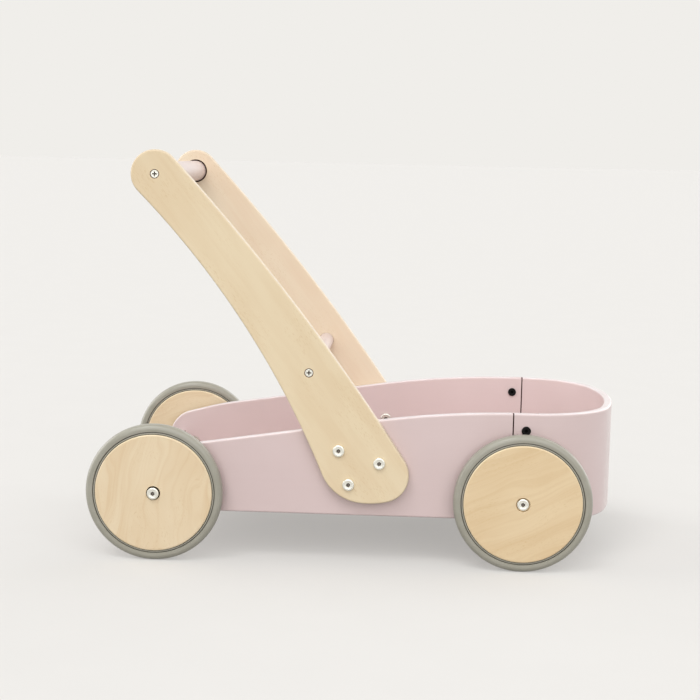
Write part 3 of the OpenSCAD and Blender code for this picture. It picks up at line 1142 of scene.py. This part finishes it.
@dataclass(frozen=True)
class Layout:
    """Places that the pieces share, read from the frame."""

    rear_x: float
    front_x: float
    axle_z: float
    side_y: float
    inner_y: float
    body_z: float
    top_z: float
    nose_x: float
    handle: Vector

    @classmethod
    def from_frame(cls) -> "Layout":
        """Reads the places from the CAD nodes' boxes.

        Returns:
            The layout.
        """
        panel = Box.of("right_side_panel")
        rear, front, handle = (
            Box.of(node).middle for node in ("rear_right_tyre", "front_right_tyre", "push_handle")
        )
        return cls(
            rear_x=rear.x,
            front_x=front.x,
            axle_z=rear.z,
            side_y=-panel.low.y,
            inner_y=-panel.high.y,
            body_z=panel.low.z,
            top_z=panel.high.z,
            nose_x=Box.of("front_bow").high.x,
            handle=Vector((handle.x, handle.z)),
        )


def fix(piece: Piece, body: str, slot: Slot, node: str) -> Piece:
    """Ties a piece to its body and hides the CAD node that it stands for.

    Args:
        piece: the piece.
        body: body that it moves with.
        slot: slot of its finish; not used.
        node: CAD node that it replaces.

    Returns:
        The piece.
    """
    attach(piece, body)
    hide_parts(node)
    return piece


@dataclass(frozen=True)
class Fasteners:
    """Bolts, nuts, screws, sleeves and spacers, each node as one piece of separate solids."""

    head_t: float = 0.003
    key: float = 0.002
    bolt_r: float = 0.003
    nut_r: float = 0.004
    lap_head_t: float = 0.0022
    lap_key: float = 0.00175
    lap_bolt_r: float = 0.0025
    lap_nut_r: float = 0.0035
    key_depth: float = 0.0019
    key_floor: float = 0.0022
    rim_share: float = 0.0011 / 0.0065
    dish_share: float = 0.62
    rim_steps: int = 5
    dip: float = 0.0001
    ease: float = 0.0003
    soft: float = 0.0004
    screw_r: float = 0.00225
    screw_play: float = 0.0004
    screw_tip: float = 0.006
    screw_flat: float = 0.0008
    cross: float = 0.0027
    cross_floor: float = 0.0021
    cross_depth: float = 0.0016
    cross_lip: float = 0.0002
    cross_foot: float = 0.45
    cross_neck: float = 0.94
    tee_t: float = 0.0015
    sleeve_ease: float = 0.0002
    spacer_ease: float = 0.0006
    steps: int = 72

    def made(
        self,
        node: str,
        finish: Finish,
        slot: Slot,
        facing: Facing,
        rings: Shape,
        hollow: bool = False,
    ) -> Piece:
        """Turns every solid of a node.

        Args:
            node: CAD node of the fasteners.
            finish: their finish.
            slot: their record slot.
            facing: which way their heads look.
            rings: gives the rings from radius and length, with height 0 on top of the head.
            hollow: whether they are tubes.

        Returns:
            The piece.
        """
        shell = Shell()
        for solid in solids(node):
            out = math.copysign(1, solid.middle.y) * facing.value
            top = Vector((solid.middle.x, solid.high.y if out > 0 else solid.low.y, solid.middle.z))
            shape = rings(solid.half.z, 2 * solid.half.y)
            shell.turn(shape, axle(top, out), self.steps, hollow=hollow)
        return fix(shell.piece(f"{node}_{finish.name}", finish), "frame", slot, node)

    def head(self, r: float, t: float, key: float) -> list[Ring]:
        """Rings of a low round head with a hexagon socket, from the socket's floor to the underside.

        Args:
            r: radius of the head.
            t: thickness of the head.
            key: half width of the socket over its flats.

        Returns:
            The rings.
        """
        rim, dish, dip, ease = r * self.rim_share, r * self.dish_share, self.dip, self.ease
        turns = [(math.sin(a), math.cos(a), math.sin(2 * a)) for a in quarter(self.rim_steps)]
        # Negative edges paint shade in the socket.
        return [
            Ring(0, -self.key_floor, -0.7),
            Ring(key, -self.key_depth, -1.0, Section.HEXAGON),
            Ring(key, -ease, -0.4, Section.HEXAGON),
            Ring(key + 2 * dip, -dip, 1.0, Section.HEXAGON),
            Ring(key + 7 * dip, -dip),
            Ring(dish - ease, -dip),
            Ring(dish, 0.0, 0.6),
            *(Ring(r - rim + rim * s, rim * c - rim, edge) for s, c, edge in turns),
            Ring(r, ease - t),
            Ring(r - ease, -t),
        ]

    def headed(self, t: float, key: float, shank: float, bore: float = 0.0) -> Shape:
        """Rings of a bolt, or of a sleeve nut where there is a bore.

        Args:
            t: thickness of the head.
            key: half width of the socket.
            shank: radius of the shank or barrel.
            bore: radius of the bore.

        Returns:
            Function of head radius and length.
        """

        def rings(r: float, length: float) -> list[Ring]:
            """Rings of one fastener.

            Args:
                r: radius of its head.
                length: its length.

            Returns:
                The rings.
            """
            tip = [(shank, self.soft - length), (shank - self.soft, -length), (0, -length)]
            tube = [(shank, -length), (bore, -length), (bore, -t), (0, -t)]
            return self.head(r, t, key) + [Ring(*at) for at in ((shank, -t), *(tube if bore else tip))]

        return rings

    def screw(self, r: float, length: float) -> list[Ring]:
        """Rings of a countersunk wood screw with a cross slot.

        Args:
            r: radius of the head.
            length: length of the screw.

        Returns:
            The rings.
        """
        r -= self.screw_play
        cone, ease = r - self.screw_r, self.ease
        # Negative edges paint shade in the cross slot.
        return [
            Ring(0, -self.cross_floor, -1.0),
            Ring(self.cross * self.cross_foot, -self.cross_depth, -1.0, Section.CROSS),
            Ring(self.cross * self.cross_neck, -self.cross_lip, -0.8, Section.CROSS),
            Ring(self.cross, 0.0, 1.0, Section.CROSS),
            Ring(r - self.screw_flat, 0.0),
            Ring(r - ease, 0.0, 0.7),
            Ring(r, -ease),
            Ring(self.screw_r, -cone - ease),
            Ring(self.screw_r, self.screw_tip - length),
            Ring(0, -length),
        ]

    def tee_nut(self, r: float, length: float) -> list[Ring]:
        """Rings of a tee nut: thin flange and barrel.

        Args:
            r: radius of the flange.
            length: length of the nut.

        Returns:
            The rings.
        """
        bore, soft = self.bolt_r + PLAY, self.soft
        flange = [Ring(bore + soft, 0.0, 0.6), Ring(r - soft, 0.0), Ring(r, -soft, 1.0), Ring(r, -self.tee_t)]
        barrel = [Ring(self.nut_r, -self.tee_t), Ring(self.nut_r, -length)]
        return [*flange, *barrel, Ring(bore, -length), Ring(bore, -soft)]

    def tube(self, bore: float, ease: float) -> Shape:
        """Rings of a sleeve or spacer, as a function of radius and length."""
        return lambda r, length: [
            Ring(bore, 0.0),
            Ring(r - ease, 0.0, 1.0),
            Ring(r, -ease),
            Ring(r, ease - length),
            Ring(r - ease, -length, 1.0),
            Ring(bore, -length),
        ]

    def build(self) -> list[Piece]:
        """Makes all fasteners.

        Returns:
            The pieces.
        """
        bolt = self.headed(self.head_t, self.key, self.bolt_r)
        nut = self.headed(self.head_t, self.key, self.nut_r, self.bolt_r + PLAY)
        lap_bolt = self.headed(self.lap_head_t, self.lap_key, self.lap_bolt_r)
        lap_nut = self.headed(self.lap_head_t, self.lap_key, self.lap_nut_r, self.lap_bolt_r + PLAY)
        sleeve = self.tube(self.bolt_r + PLAY, self.sleeve_ease)
        spacer = self.tube(solids("wheel_sleeves")[0].half.z + PLAY, self.spacer_ease)
        table = (
            ("wheel_bolts", ZINC, Slot.ZINC_STEEL, Facing.OUTWARD, bolt),
            ("arm_bolts", ZINC, Slot.ZINC_STEEL, Facing.OUTWARD, bolt),
            ("arm_nuts", ZINC, Slot.ZINC_STEEL, Facing.INWARD, nut),
            ("lap_bolts", BLACK_STEEL, Slot.BLACK_STEEL, Facing.OUTWARD, lap_bolt),
            ("lap_nuts", BLACK_STEEL, Slot.BLACK_STEEL, Facing.INWARD, lap_nut),
            ("dowel_screws", ZINC, Slot.ZINC_STEEL, Facing.OUTWARD, self.screw),
            ("wheel_nuts", ZINC, Slot.ZINC_STEEL, Facing.INWARD, self.tee_nut, True),
            ("wheel_sleeves", ZINC, Slot.ZINC_STEEL, Facing.OUTWARD, sleeve, True),
            ("wheel_spacers", BLACK_NYLON, Slot.BLACK_NYLON, Facing.OUTWARD, spacer, True),
        )
        return [self.made(*row) for row in table]


@dataclass(frozen=True)
class Tray:
    """Side panels, bent bow, floor board and rear board."""

    layout: Layout
    fasteners: Fasteners
    tail: float = 0.030
    tail_h: float = 0.0565
    knee_x: float = 0.035
    knee_h: float = 0.074
    knee_r: float = 0.280
    brow_x: float = 0.082
    brow_run: float = 0.080
    tail_r: float = 0.033
    rear_r: float = 0.018
    nose_r: float = 0.004
    outline_steps: tuple[int, ...] = (12, 3, 3, 24, 12, 20)
    bow_r: float = 0.090
    bow_crown: float = 0.280
    bow_steps: int = 28
    crown_steps: int = 24
    lap: float = 0.026
    lap_start: float = 0.012
    seam: float = 0.0014
    edge_r: float = 0.002
    board_r: float = 0.003
    board_steps: int = 4
    groove: float = 0.003
    reach: float = 0.012
    plies: int = 7
    floor_plies: int = 5
    floor_edge_r: float = 0.0006

    @property
    def thickness(self) -> float:
        """Thickness of the painted plywood."""
        return self.layout.side_y - self.layout.inner_y

    @property
    def lap_x(self) -> tuple[float, float]:
        """Where the half-lap starts and ends."""
        start = self.layout.front_x - self.lap_start
        return start, start + self.lap

    @property
    def crown_x(self) -> float:
        """Centre of the bow's crown."""
        return self.layout.nose_x - self.bow_crown

    def panel_outline(self, inset: float) -> list[Vector]:
        """Outline of a side panel: level front, long slope, knee and round tail.

        Args:
            inset: how far it is set in.

        Returns:
            The points in the XZ plane.
        """
        at = self.layout
        tail_x, nose_x = at.rear_x - self.tail, self.lap_x[1] + 5 * self.nose_r
        places = (
            (tail_x, at.body_z),
            (nose_x, at.body_z),
            (nose_x, at.top_z),
            (at.front_x - self.brow_x, at.top_z),
            (at.rear_x + self.knee_x, at.body_z + self.knee_h),
            (tail_x, at.body_z + self.tail_h),
        )
        points = [Vector(place) for place in places]
        brow_r = self.brow_run / math.tan(bearing(points[4], points[3]) / 2)
        radii = (self.rear_r, self.nose_r, self.nose_r, brow_r, self.knee_r, self.tail_r)
        return rounded_outline(points, radii, inset, self.outline_steps)

    def bow_line(self, grow: float) -> list[Vector]:
        """Line along the bow from the right leg round to the left.

        Args:
            grow: distance outwards from the bow's outer face.

        Returns:
            The points in the XY plane.
        """
        corner_y = self.layout.side_y - self.bow_r
        run = math.sqrt((self.bow_crown - self.bow_r) ** 2 - corner_y**2)
        corner_x, swing = self.crown_x + run, math.atan2(corner_y, run)
        r, crown_r, steps = self.bow_r + grow, self.bow_crown + grow, self.bow_steps
        right = arc(Vector((corner_x, -corner_y)), r, -math.pi / 2, -swing, steps)
        front = arc(Vector((self.crown_x, 0)), crown_r, -swing, swing, self.crown_steps)
        left = arc(Vector((corner_x, corner_y)), r, swing, math.pi / 2, steps, last=True)
        return right + front + left

    def bow_section(self) -> Iterator[tuple[float, float, float]]:
        """Rounded section of the bow.

        Yields:
            Depth from the outer face, height from the bottom edge and amount of edge.
        """
        e, height = self.edge_r, self.layout.top_z - self.layout.body_z
        for right, up, start in ((0, 0, 180), (1, 0, 270), (1, 1, 0), (0, 1, 90)):
            centre = Vector((e + right * (self.thickness - 2 * e), e + up * (height - 2 * e)))
            angles = [math.radians(start) + a for a in quarter(EDGE_STEPS)]
            corner = [centre + e * polar(angle) for angle in angles]
            corner.insert(0, corner[0] + polar(angles[0] - math.pi / 2) * FLAT_RIM)
            corner.append(corner[-1] + polar(angles[-1] + math.pi / 2) * FLAT_RIM)
            for point, angle in zip(corner, [angles[0], *angles, angles[-1]]):
                # The whole narrow face counts as edge, so its paler colour paints the highlight along it.
                yield *point, abs(math.sin(angle))

    def floor_outline(self, inset: float) -> list[Vector]:
        """Plan of the space inside the panels and the bow, set in.

        Args:
            inset: how far it is set in.

        Returns:
            The points in the XY plane.
        """
        grow = -inset - PLAY
        rear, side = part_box("rear_board")[1].x - grow, self.layout.inner_y + grow
        return [Vector((rear, -side)), *self.bow_line(grow - self.thickness), Vector((rear, side))]

    def lap_cut(self, cutter: Shell, side: Side, ys: tuple[float, float], xs: tuple[float, float]) -> None:
        """Cutter for one half of a half-lap.

        Args:
            cutter: shell that it is added to.
            side: side of the walker.
            ys: distances from the middle of the walker.
            xs: where it starts and ends along the walker.
        """
        near, far = side.span(*ys)
        bottom, top = self.layout.body_z - self.reach, self.layout.top_z + self.reach
        cutter.block((xs[0], near, bottom), (xs[1], far, top))

    def bolt_holes(self, side: Side) -> Shell:
        """Cutter for the bolts that pass through a panel and the end of the bow.

        Args:
            side: side of the walker.

        Returns:
            The cutter.
        """
        cutter = Shell()
        use, inner = self.fasteners, self.layout.inner_y
        through = (inner - self.reach, self.layout.side_y + self.reach)
        nuts = {"arm_nuts": use.nut_r, "wheel_nuts": use.nut_r, "lap_nuts": use.lap_nut_r}
        for node, radius in nuts.items():
            cutter.drill(solids(node), side, *through, radius + PLAY)
        tees = solids("wheel_nuts")
        cutter.drill(tees, side, through[0], inner + use.tee_t, tees[0].half.x + PLAY)
        return cutter

    def board(self, node: str, plate: Plate, *cutters: Shell) -> Piece:
        """Makes a painted board of the tray."""
        piece = plate.build(node + "_painted", PINK, *cutters)
        return fix(piece, "frame", Slot.PINK_PAINT, node)

    def panel(self, side: Side) -> Piece:
        """Makes one side panel with its half of the lap, its housing for the rear board and its holes.

        Args:
            side: side of the walker.

        Returns:
            The piece.
        """
        at = self.layout
        place = axes((1, 0, 0), (0, 0, 1), (0, side.value, 0), (0, side.value * at.inner_y, 0))
        start, end = (x - self.seam / 2 for x in self.lap_x)
        stop = self.lap_x[1] + 2 * self.lap
        middle = at.side_y - self.thickness / 2
        lap, housing = Shell(), Shell()
        self.lap_cut(lap, side, (middle, at.side_y + self.reach), (start, stop))
        self.lap_cut(lap, side, (middle, at.inner_y - self.reach), (end, stop))
        low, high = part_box("rear_board")
        near, far = side.span(at.inner_y + self.groove, at.inner_y - self.reach)
        housing.block((low.x - PLAY, near, low.z), (high.x + PLAY, far, high.z + PLAY))
        plate = Plate(self.panel_outline, self.thickness, place, self.edge_r, self.plies)
        return self.board(side.node("side_panel"), plate, lap, housing, self.bolt_holes(side))

    def bow_grain(self, point: Vector) -> Grain:
        """Grain attribute of the bow: round its crown, and up."""
        return math.atan2(point.y, point.x - self.crown_x) * self.bow_crown, point.z, FACE_PLY

    def bow(self) -> Piece:
        """Makes the bent bow.

        Returns:
            The piece.
        """
        at = self.layout
        start, end = self.lap_x
        leg = start + self.seam / 2
        shell = Shell()
        rows = []
        for depth, height, edge in self.bow_section():
            ends = [Vector((leg, y)) for y in (depth - at.side_y, at.side_y - depth)]
            line = [ends[0], *self.bow_line(-depth), ends[1]]
            rows.append([shell.add(Vector((*p, at.body_z + height)), edge) for p in line])
        shell.skin(rows, closed=False, wrap=True)
        shell.faces.extend(tuple(row[last] for row in rows) for last in (0, -1))
        piece = shell.piece("front_bow_painted", PINK)
        middle = at.side_y - self.thickness / 2
        lap = Shell()
        for side in Side:
            run = (start - self.reach, end + self.seam / 2)
            self.lap_cut(lap, side, (middle, at.inner_y - self.reach), run)
        for cutter in (lap, *(self.bolt_holes(side) for side in Side)):
            carve(piece, cutter)
        mark(piece, self.bow_grain)
        return fix(piece, "frame", Slot.PINK_PAINT, "front_bow")

    def floor_board(self) -> Piece:
        """Makes the floor board.

        Returns:
            The piece.
        """
        low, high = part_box("floor_board")
        place = axes((1, 0, 0), (0, 1, 0), (0, 0, 1), (0, 0, low.z))
        plate = Plate(self.floor_outline, high.z - low.z, place, self.floor_edge_r, self.floor_plies)
        return self.board("floor_board", plate)

    def rear_board(self) -> Piece:
        """Makes the board that closes the tray at the rear.

        Returns:
            The piece.
        """
        low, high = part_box("rear_board")
        places = ((low.y, low.z), (high.y, low.z), (high.y, high.z), (low.y, high.z))
        corners = [Vector(place) for place in places]
        plate = Plate(
            lambda inset: rounded_outline(corners, [self.board_r] * 4, inset, [self.board_steps] * 4),
            high.x - low.x,
            axes((0, 1, 0), (0, 0, 1), (1, 0, 0), (low.x, 0, 0)),
            self.edge_r,
            self.plies,
        )
        return self.board("rear_board", plate)

    def build(self) -> list[Piece]:
        """Makes all pieces of the tray."""
        return [*(self.panel(side) for side in Side), self.bow(), self.floor_board(), self.rear_board()]


@dataclass(frozen=True)
class Arms:
    """The two bowed arms with the push handle and the lower crossbar."""

    layout: Layout
    fasteners: Fasteners
    end_r: float = 0.026
    heel_x: float = 0.229
    heel_up: float = 0.044
    heel_r: float = 0.051
    toe_r: float = 0.0295
    toe_shift: float = 0.0055
    toe_angle: float = math.radians(-47.6)
    sole_extra: float = 0.040
    hollow_r: float = 0.940
    crown_r: float = 2.380
    arc_steps: tuple[int, ...] = (40, 30, 24, 10, 28, 30)
    edge_r: float = 0.002
    plies: int = 9
    socket: float = 0.004
    handle_play: float = 0.0017
    bar_play: float = 0.0001
    countersink: float = 0.0026
    screw_ring: float = 0.0002
    dowel_ease: float = 0.001
    dowel_steps: int = 72

    @property
    def heel(self) -> Vector:
        """Centre of the heel's arc."""
        return Vector((self.layout.rear_x + self.heel_x, self.layout.axle_z + self.heel_up))

    def outline(self, inset: float) -> list[Vector]:
        """Outline of an arm as tangent arcs: crown, round end, hollow, heel, sole and toe.

        Args:
            inset: how far it is set in.

        Returns:
            The points in the XZ plane.
        """
        top, heel = self.layout.handle, self.heel
        toe = heel + (self.heel_r - self.toe_r + self.toe_shift) * polar(self.toe_angle)
        sole_r = self.heel_r + self.sole_extra
        hollow = meet(top, self.hollow_r + self.end_r, heel, self.hollow_r + self.heel_r, -1)
        sole = meet(heel, sole_r - self.heel_r, toe, sole_r - self.toe_r, 1)
        crown = meet(top, self.crown_r - self.end_r, toe, self.crown_r - self.toe_r, -1)
        top_a, hollow_a, heel_a = bearing(crown, top), bearing(hollow, top), bearing(hollow, heel)
        sole_a = after(math.pi, bearing(sole, heel))
        toe_a = after(sole_a, bearing(sole, toe))
        crown_a = bearing(crown, toe)
        chain = (
            (top, self.end_r - inset, top_a, hollow_a + math.pi),
            (hollow, self.hollow_r + inset, hollow_a, heel_a),
            (heel, self.heel_r - inset, heel_a + math.pi, sole_a),
            (sole, sole_r - inset, sole_a, toe_a),
            (toe, self.toe_r - inset, toe_a, after(toe_a, crown_a)),
            (crown, self.crown_r - inset, crown_a, top_a),
        )
        return [point for link, steps in zip(chain, self.arc_steps) for point in arc(*link, steps)]

    def arm(self, side: Side, birch: BirchPly) -> Piece:
        """Makes one arm.

        Args:
            side: side of the walker.
            birch: its finish.

        Returns:
            The piece.
        """
        node = side.node("arm")
        inner, outer = sorted(abs(corner.y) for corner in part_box(node))
        plate = Plate(
            self.outline,
            outer - inner,
            axes((1, 0, 0), (0, 0, 1), (0, side.value, 0), (0, side.value * inner, 0)),
            self.edge_r,
            self.plies,
            (self.layout.handle - self.heel).normalized(),
        )
        low, high = inner - self.socket, inner + self.socket
        cutter = Shell()
        for dowel, play in (("push_handle", self.handle_play), ("lower_crossbar", self.bar_play)):
            box = Box.of(dowel)
            cutter.drill([box], side, low, high, box.half.x + play)
        screws, deep = solids("dowel_screws"), self.countersink
        head = screws[0].half.x + self.screw_ring
        cutter.drill(screws, side, outer + deep, outer - deep, head + deep, head - deep)
        cutter.drill(solids("arm_nuts"), side, low, outer + self.socket, self.fasteners.nut_r + PLAY)
        return fix(plate.build(node + "_plywood", birch, cutter), "frame", Slot.BIRCH_PLY, node)

    def dowel(self, node: str) -> Piece:
        """Makes the push handle or the crossbar.

        Args:
            node: CAD node that it stands for.

        Returns:
            The piece.
        """
        box = Box.of(node)
        r, half, ease = box.half.z, box.half.y, self.dowel_ease
        profile = [(0, half), (r - ease, half), (r - ease / 3, half - ease / 3)]
        profile += [(r, half - ease), (r, half - 3 * ease)]
        rings = [Ring(a, -h) for a, h in profile]
        shell = Shell()
        shell.turn(
            rings + mirrored(rings),
            axle(box.middle),
            self.dowel_steps,
            lambda x, y, h: Vector((h, 2 * x + y, FACE_PLY)),
        )
        return fix(shell.piece(node + "_wood", PALE_PINK), "frame", Slot.PALE_PINK_WOOD, node)

    def build(self) -> list[Piece]:
        """Makes the arms and the dowels."""
        arms = [self.arm(Side.RIGHT, RIGHT_BIRCH), self.arm(Side.LEFT, LEFT_BIRCH_PAINTED_LIGHTER)]
        return [*arms, self.dowel("push_handle"), self.dowel("lower_crossbar")]


@dataclass(frozen=True)
class Wheel:
    """One wheel: plywood disc, rubber tyre and bush."""

    name: str
    grain_angle: float
    sink: float
    birch: BirchPly
    recess: float = 0.0012
    hub_edge: float = 0.0003
    rim_r: float = 0.0015
    rim_half: float = 0.005
    rim_groove: float = 0.002
    rib_set: float = 0.002
    shoulder: float = 0.0055
    shoulder_steps: int = 14
    sleeve_play: float = 0.00006
    grain_step: float = 0.037
    plies: int = 11
    steps: int = 144
    bush_steps: int = 64
    # Lip rings as rise above the seat, drop below the tyre's side and edge: 1 paints a highlight on the lip,
    # -1 paints shade in the groove and in the gap beside the disc.
    lip: tuple[tuple[float, float, float], ...] = (
        (0.0032, 0.0002, 0.0),
        (0.0029, 0.0006, 0.3),
        (0.0026, 0.0018, -1.0),
        (0.0021, 0.0018, -1.0),
        (0.0019, 0.0010, 0.6),
        (0.0016, 0.0008, 1.0),
        (0.0008, 0.0008, 0.6),
        (0.0005, 0.0014, -1.0),
        (0.0, 0.0015, -1.0),
    )

    def box(self, kind: str) -> Box:
        """Box of one of the wheel's CAD nodes."""
        return Box.of(f"{self.name}_{kind}")

    def turned(
        self,
        kind: str,
        stuff: str,
        finish: Finish,
        slot: Slot,
        rings: Sequence[Ring],
        steps: int,
        grain: Placer = turned_grain,
    ) -> Piece:
        """Turns a piece of the wheel, with its heights outwards.

        Args:
            kind: last word of its CAD node.
            stuff: what it is made of.
            finish: its finish.
            slot: its record slot.
            rings: its rings.
            steps: points in each ring.
            grain: gives its grain attribute.

        Returns:
            The piece.
        """
        node, middle = f"{self.name}_{kind}", self.box(kind).middle
        shell = Shell()
        shell.turn(rings, axle(middle, math.copysign(1, middle.y)), steps, grain, hollow=True)
        return fix(shell.piece(f"{node}_{stuff}", finish), f"{self.name}_wheel", slot, node)

    def disc(self) -> Piece:
        """Makes the plywood disc.

        Returns:
            The piece.
        """
        box, e, edge, groove = self.box("disc"), self.rim_r, self.hub_edge, self.rim_groove
        half, radius = box.half.y, box.half.z
        bush_r = self.box("bush").half.z + PLAY
        hub_r = bush_r + (self.recess if self.sink else 0.0)
        along = polar(self.grain_angle)
        shift = sum(ord(letter) for letter in self.name) * self.grain_step
        turns = [(math.sin(a), math.cos(a)) for a in quarter(EDGE_STEPS)]
        # The rim's rounded edge counts as edge, so its paler colour paints the rim's highlight.
        lower = [Ring(radius - e - FLAT_RIM, -half)]
        lower += [Ring(radius - e + e * s, e - half - e * c, s) for s, c in turns]
        lower += [Ring(radius, -self.rim_half, 1.0), Ring(radius - groove, -self.rim_half)]
        rings = [Ring(bush_r, edge - half), Ring(bush_r + edge, -half), *lower, *mirrored(lower)]
        rings += [Ring(hub_r + edge, half), Ring(hub_r, half - edge)]
        if self.sink:
            rings += [Ring(hub_r, half - self.sink), Ring(bush_r, half - self.sink)]

        def grain(x: float, y: float, h: float) -> Vector:
            """Grain of the disc at a point."""
            point, ply = Vector((x, y)), FACE_PLY + (half - h) / (2 * half) * (self.plies - 1)
            return Vector((point.dot(along) + shift, point.dot(left_of(along)) + shift, ply))

        return self.turned("disc", "plywood", self.birch, Slot.BIRCH_PLY, rings, self.steps, grain)

    def tyre(self) -> Piece:
        """Makes the rubber tyre: rib in the disc's groove, lip, fine groove and rounded tread.

        Returns:
            The piece.
        """
        box, s = self.box("tyre"), self.shoulder
        half, outer, seat = box.half.y, box.half.z, self.box("disc").half.z + PLAY
        rib = half - self.rib_set - PLAY
        turns = [(math.sin(a), math.cos(a)) for a in quarter(self.shoulder_steps)]
        upper = [Ring(outer - s + s * c, half - s + s * rise) for rise, c in turns]
        upper += [Ring(seat + rise, half - drop, edge) for rise, drop, edge in self.lip]
        upper += [Ring(seat, rib), Ring(seat - self.rim_groove, rib)]
        rings = upper + mirrored(upper)

        def grain(x: float, y: float, h: float) -> Vector:
            """Grain of the tyre at a point."""
            return Vector((math.atan2(y, x) * outer, h, FACE_PLY))

        return self.turned("tyre", "rubber", GREY_RUBBER, Slot.GREY_RUBBER, rings, self.steps, grain)

    def bush(self) -> Piece:
        """Makes the bush pressed into the disc.

        Returns:
            The piece.
        """
        box, c = self.box("bush"), self.hub_edge
        half, r, bore = box.half.y, box.half.z, solids("wheel_sleeves")[0].half.z + self.sleeve_play
        rings = [Ring(bore, -half), Ring(r - c, -half, 1.0), Ring(r, c - half), Ring(r, half - c)]
        rings += [Ring(r - c, half, 1.0), Ring(bore + c, half), Ring(bore, half - c)]
        return self.turned("bush", "nylon", BLACK_NYLON, Slot.BLACK_NYLON, rings, self.bush_steps)

    def build(self) -> list[Piece]:
        """Makes the pieces of the wheel."""
        return [self.disc(), self.tyre(), self.bush()]


@dataclass(frozen=True)
class PhotoCamera:
    """Camera that sees the walker as the photograph does."""

    place: tuple[float, float, float] = (0.0680, -1.7587, 0.4464)
    yaw: float = math.radians(2.655)
    down: float = math.radians(7.449)
    roll: float = math.radians(1.24)
    focal_px: float = 1513.5
    image_px: int = 700
    sensor: float = 36.0

    def build(self) -> None:
        """Makes the camera and hands it to the scene."""
        data = bpy.data.cameras.new("photo_camera")
        data.sensor_width = self.sensor
        data.lens = self.focal_px * self.sensor / self.image_px
        camera = bpy.data.objects.new("photo_camera", data)
        bpy.context.scene.collection.objects.link(camera)
        camera.matrix_world = (
            Matrix.Translation(self.place)
            @ Matrix.Rotation(self.yaw, 4, "Z")
            @ Matrix.Rotation(math.pi / 2 - self.down, 4, "X")
            @ Matrix.Rotation(self.roll, 4, "Z")
        )
        bpy.context.scene.camera = camera


@dataclass(frozen=True)
class Lamp:
    """A far, broad and soft lamp; its angles are in degrees, its level is what it adds to a white surface."""

    name: str
    azimuth: float
    height: float
    breadth: float
    level: float

    def build(self) -> None:
        """Makes the lamp."""
        data = bpy.data.lights.new(self.name, "SUN")
        data.angle = math.radians(self.breadth)
        data.energy = self.level * math.pi
        lamp = bpy.data.objects.new(self.name, data)
        bpy.context.scene.collection.objects.link(lamp)
        lamp.rotation_euler = (math.radians(90 - self.height), 0, math.radians(self.azimuth + 90))


@dataclass(frozen=True)
class Studio:
    """Pale floor, white surroundings and soft lamps."""

    floor_r: float = 60.0
    floor_steps: int = 64
    sky: Colour = (1.0, 1.0, 1.0, 1.0)
    sky_strength: float = 0.48
    seen: Colour = PALE
    lamps: tuple[Lamp, ...] = (
        Lamp("window_lamp", 170, 18, 50, 0.50),
        Lamp("front_lamp", -84, 34, 70, 0.56),
        Lamp("side_lamp", 35, 18, 80, 0.60),
        Lamp("top_lamp", -125, 60, 24, 0.22),
    )

    def floor(self) -> None:
        """Makes the floor and marks it as stage."""
        shell = Shell()
        angles = [math.tau * k / self.floor_steps for k in range(self.floor_steps)]
        shell.faces.append(tuple(shell.add(Vector((*(self.floor_r * polar(a)), 0.0))) for a in angles))
        shell.piece("studio_floor", STUDIO_FLOOR)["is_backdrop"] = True

    def world(self) -> None:
        """White surroundings: one strength lights the walker, another is seen and reflected."""
        world = bpy.data.worlds.new("studio")
        bpy.context.scene.world = world
        world.use_nodes = True
        world.node_tree.nodes.clear()
        g = Graph(world.node_tree)
        light = g.node("Background", {0: self.sky, 1: self.sky_strength}).outputs[0]
        view = g.node("Background", {0: self.seen, 1: 1.0}).outputs[0]
        mixed = g.node("MixShader", {0: g.seen, 1: light, 2: view}).outputs[0]
        g.node("OutputWorld", {0: mixed})

    def build(self) -> None:
        """Makes floor, surroundings and lamps, and sets plain colours."""
        bpy.context.scene.view_settings.view_transform = "Standard"
        self.floor()
        self.world()
        for lamp in self.lamps:
            lamp.build()


def main() -> None:
    """Builds the scene in order and reports each piece."""
    logging.basicConfig(level=logging.INFO, format="%(message)s")
    PhotoCamera().build()
    Studio().build()
    layout, fasteners = Layout.from_frame(), Fasteners()
    wheels = [
        Wheel("front_right", math.radians(24), 0.003, FRONT_BIRCH),
        Wheel("front_left", math.radians(-35), 0.003, FRONT_BIRCH),
        Wheel("rear_right", math.radians(80), 0.0, REAR_BIRCH),
        Wheel("rear_left", math.radians(15), 0.0, REAR_BIRCH),
    ]
    for assembly in (Tray(layout, fasteners), Arms(layout, fasteners), *wheels, fasteners):
        for piece in assembly.build():
            LOG.info("%s: %s with %d faces", type(assembly).__name__, piece.name, len(piece.data.polygons))
    both = {"cad": CAD_BOX, "visual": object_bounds()}
    boxes = {name: [list(corner) for corner in box] for name, box in both.items()}


if __name__ == "__main__":
    main()
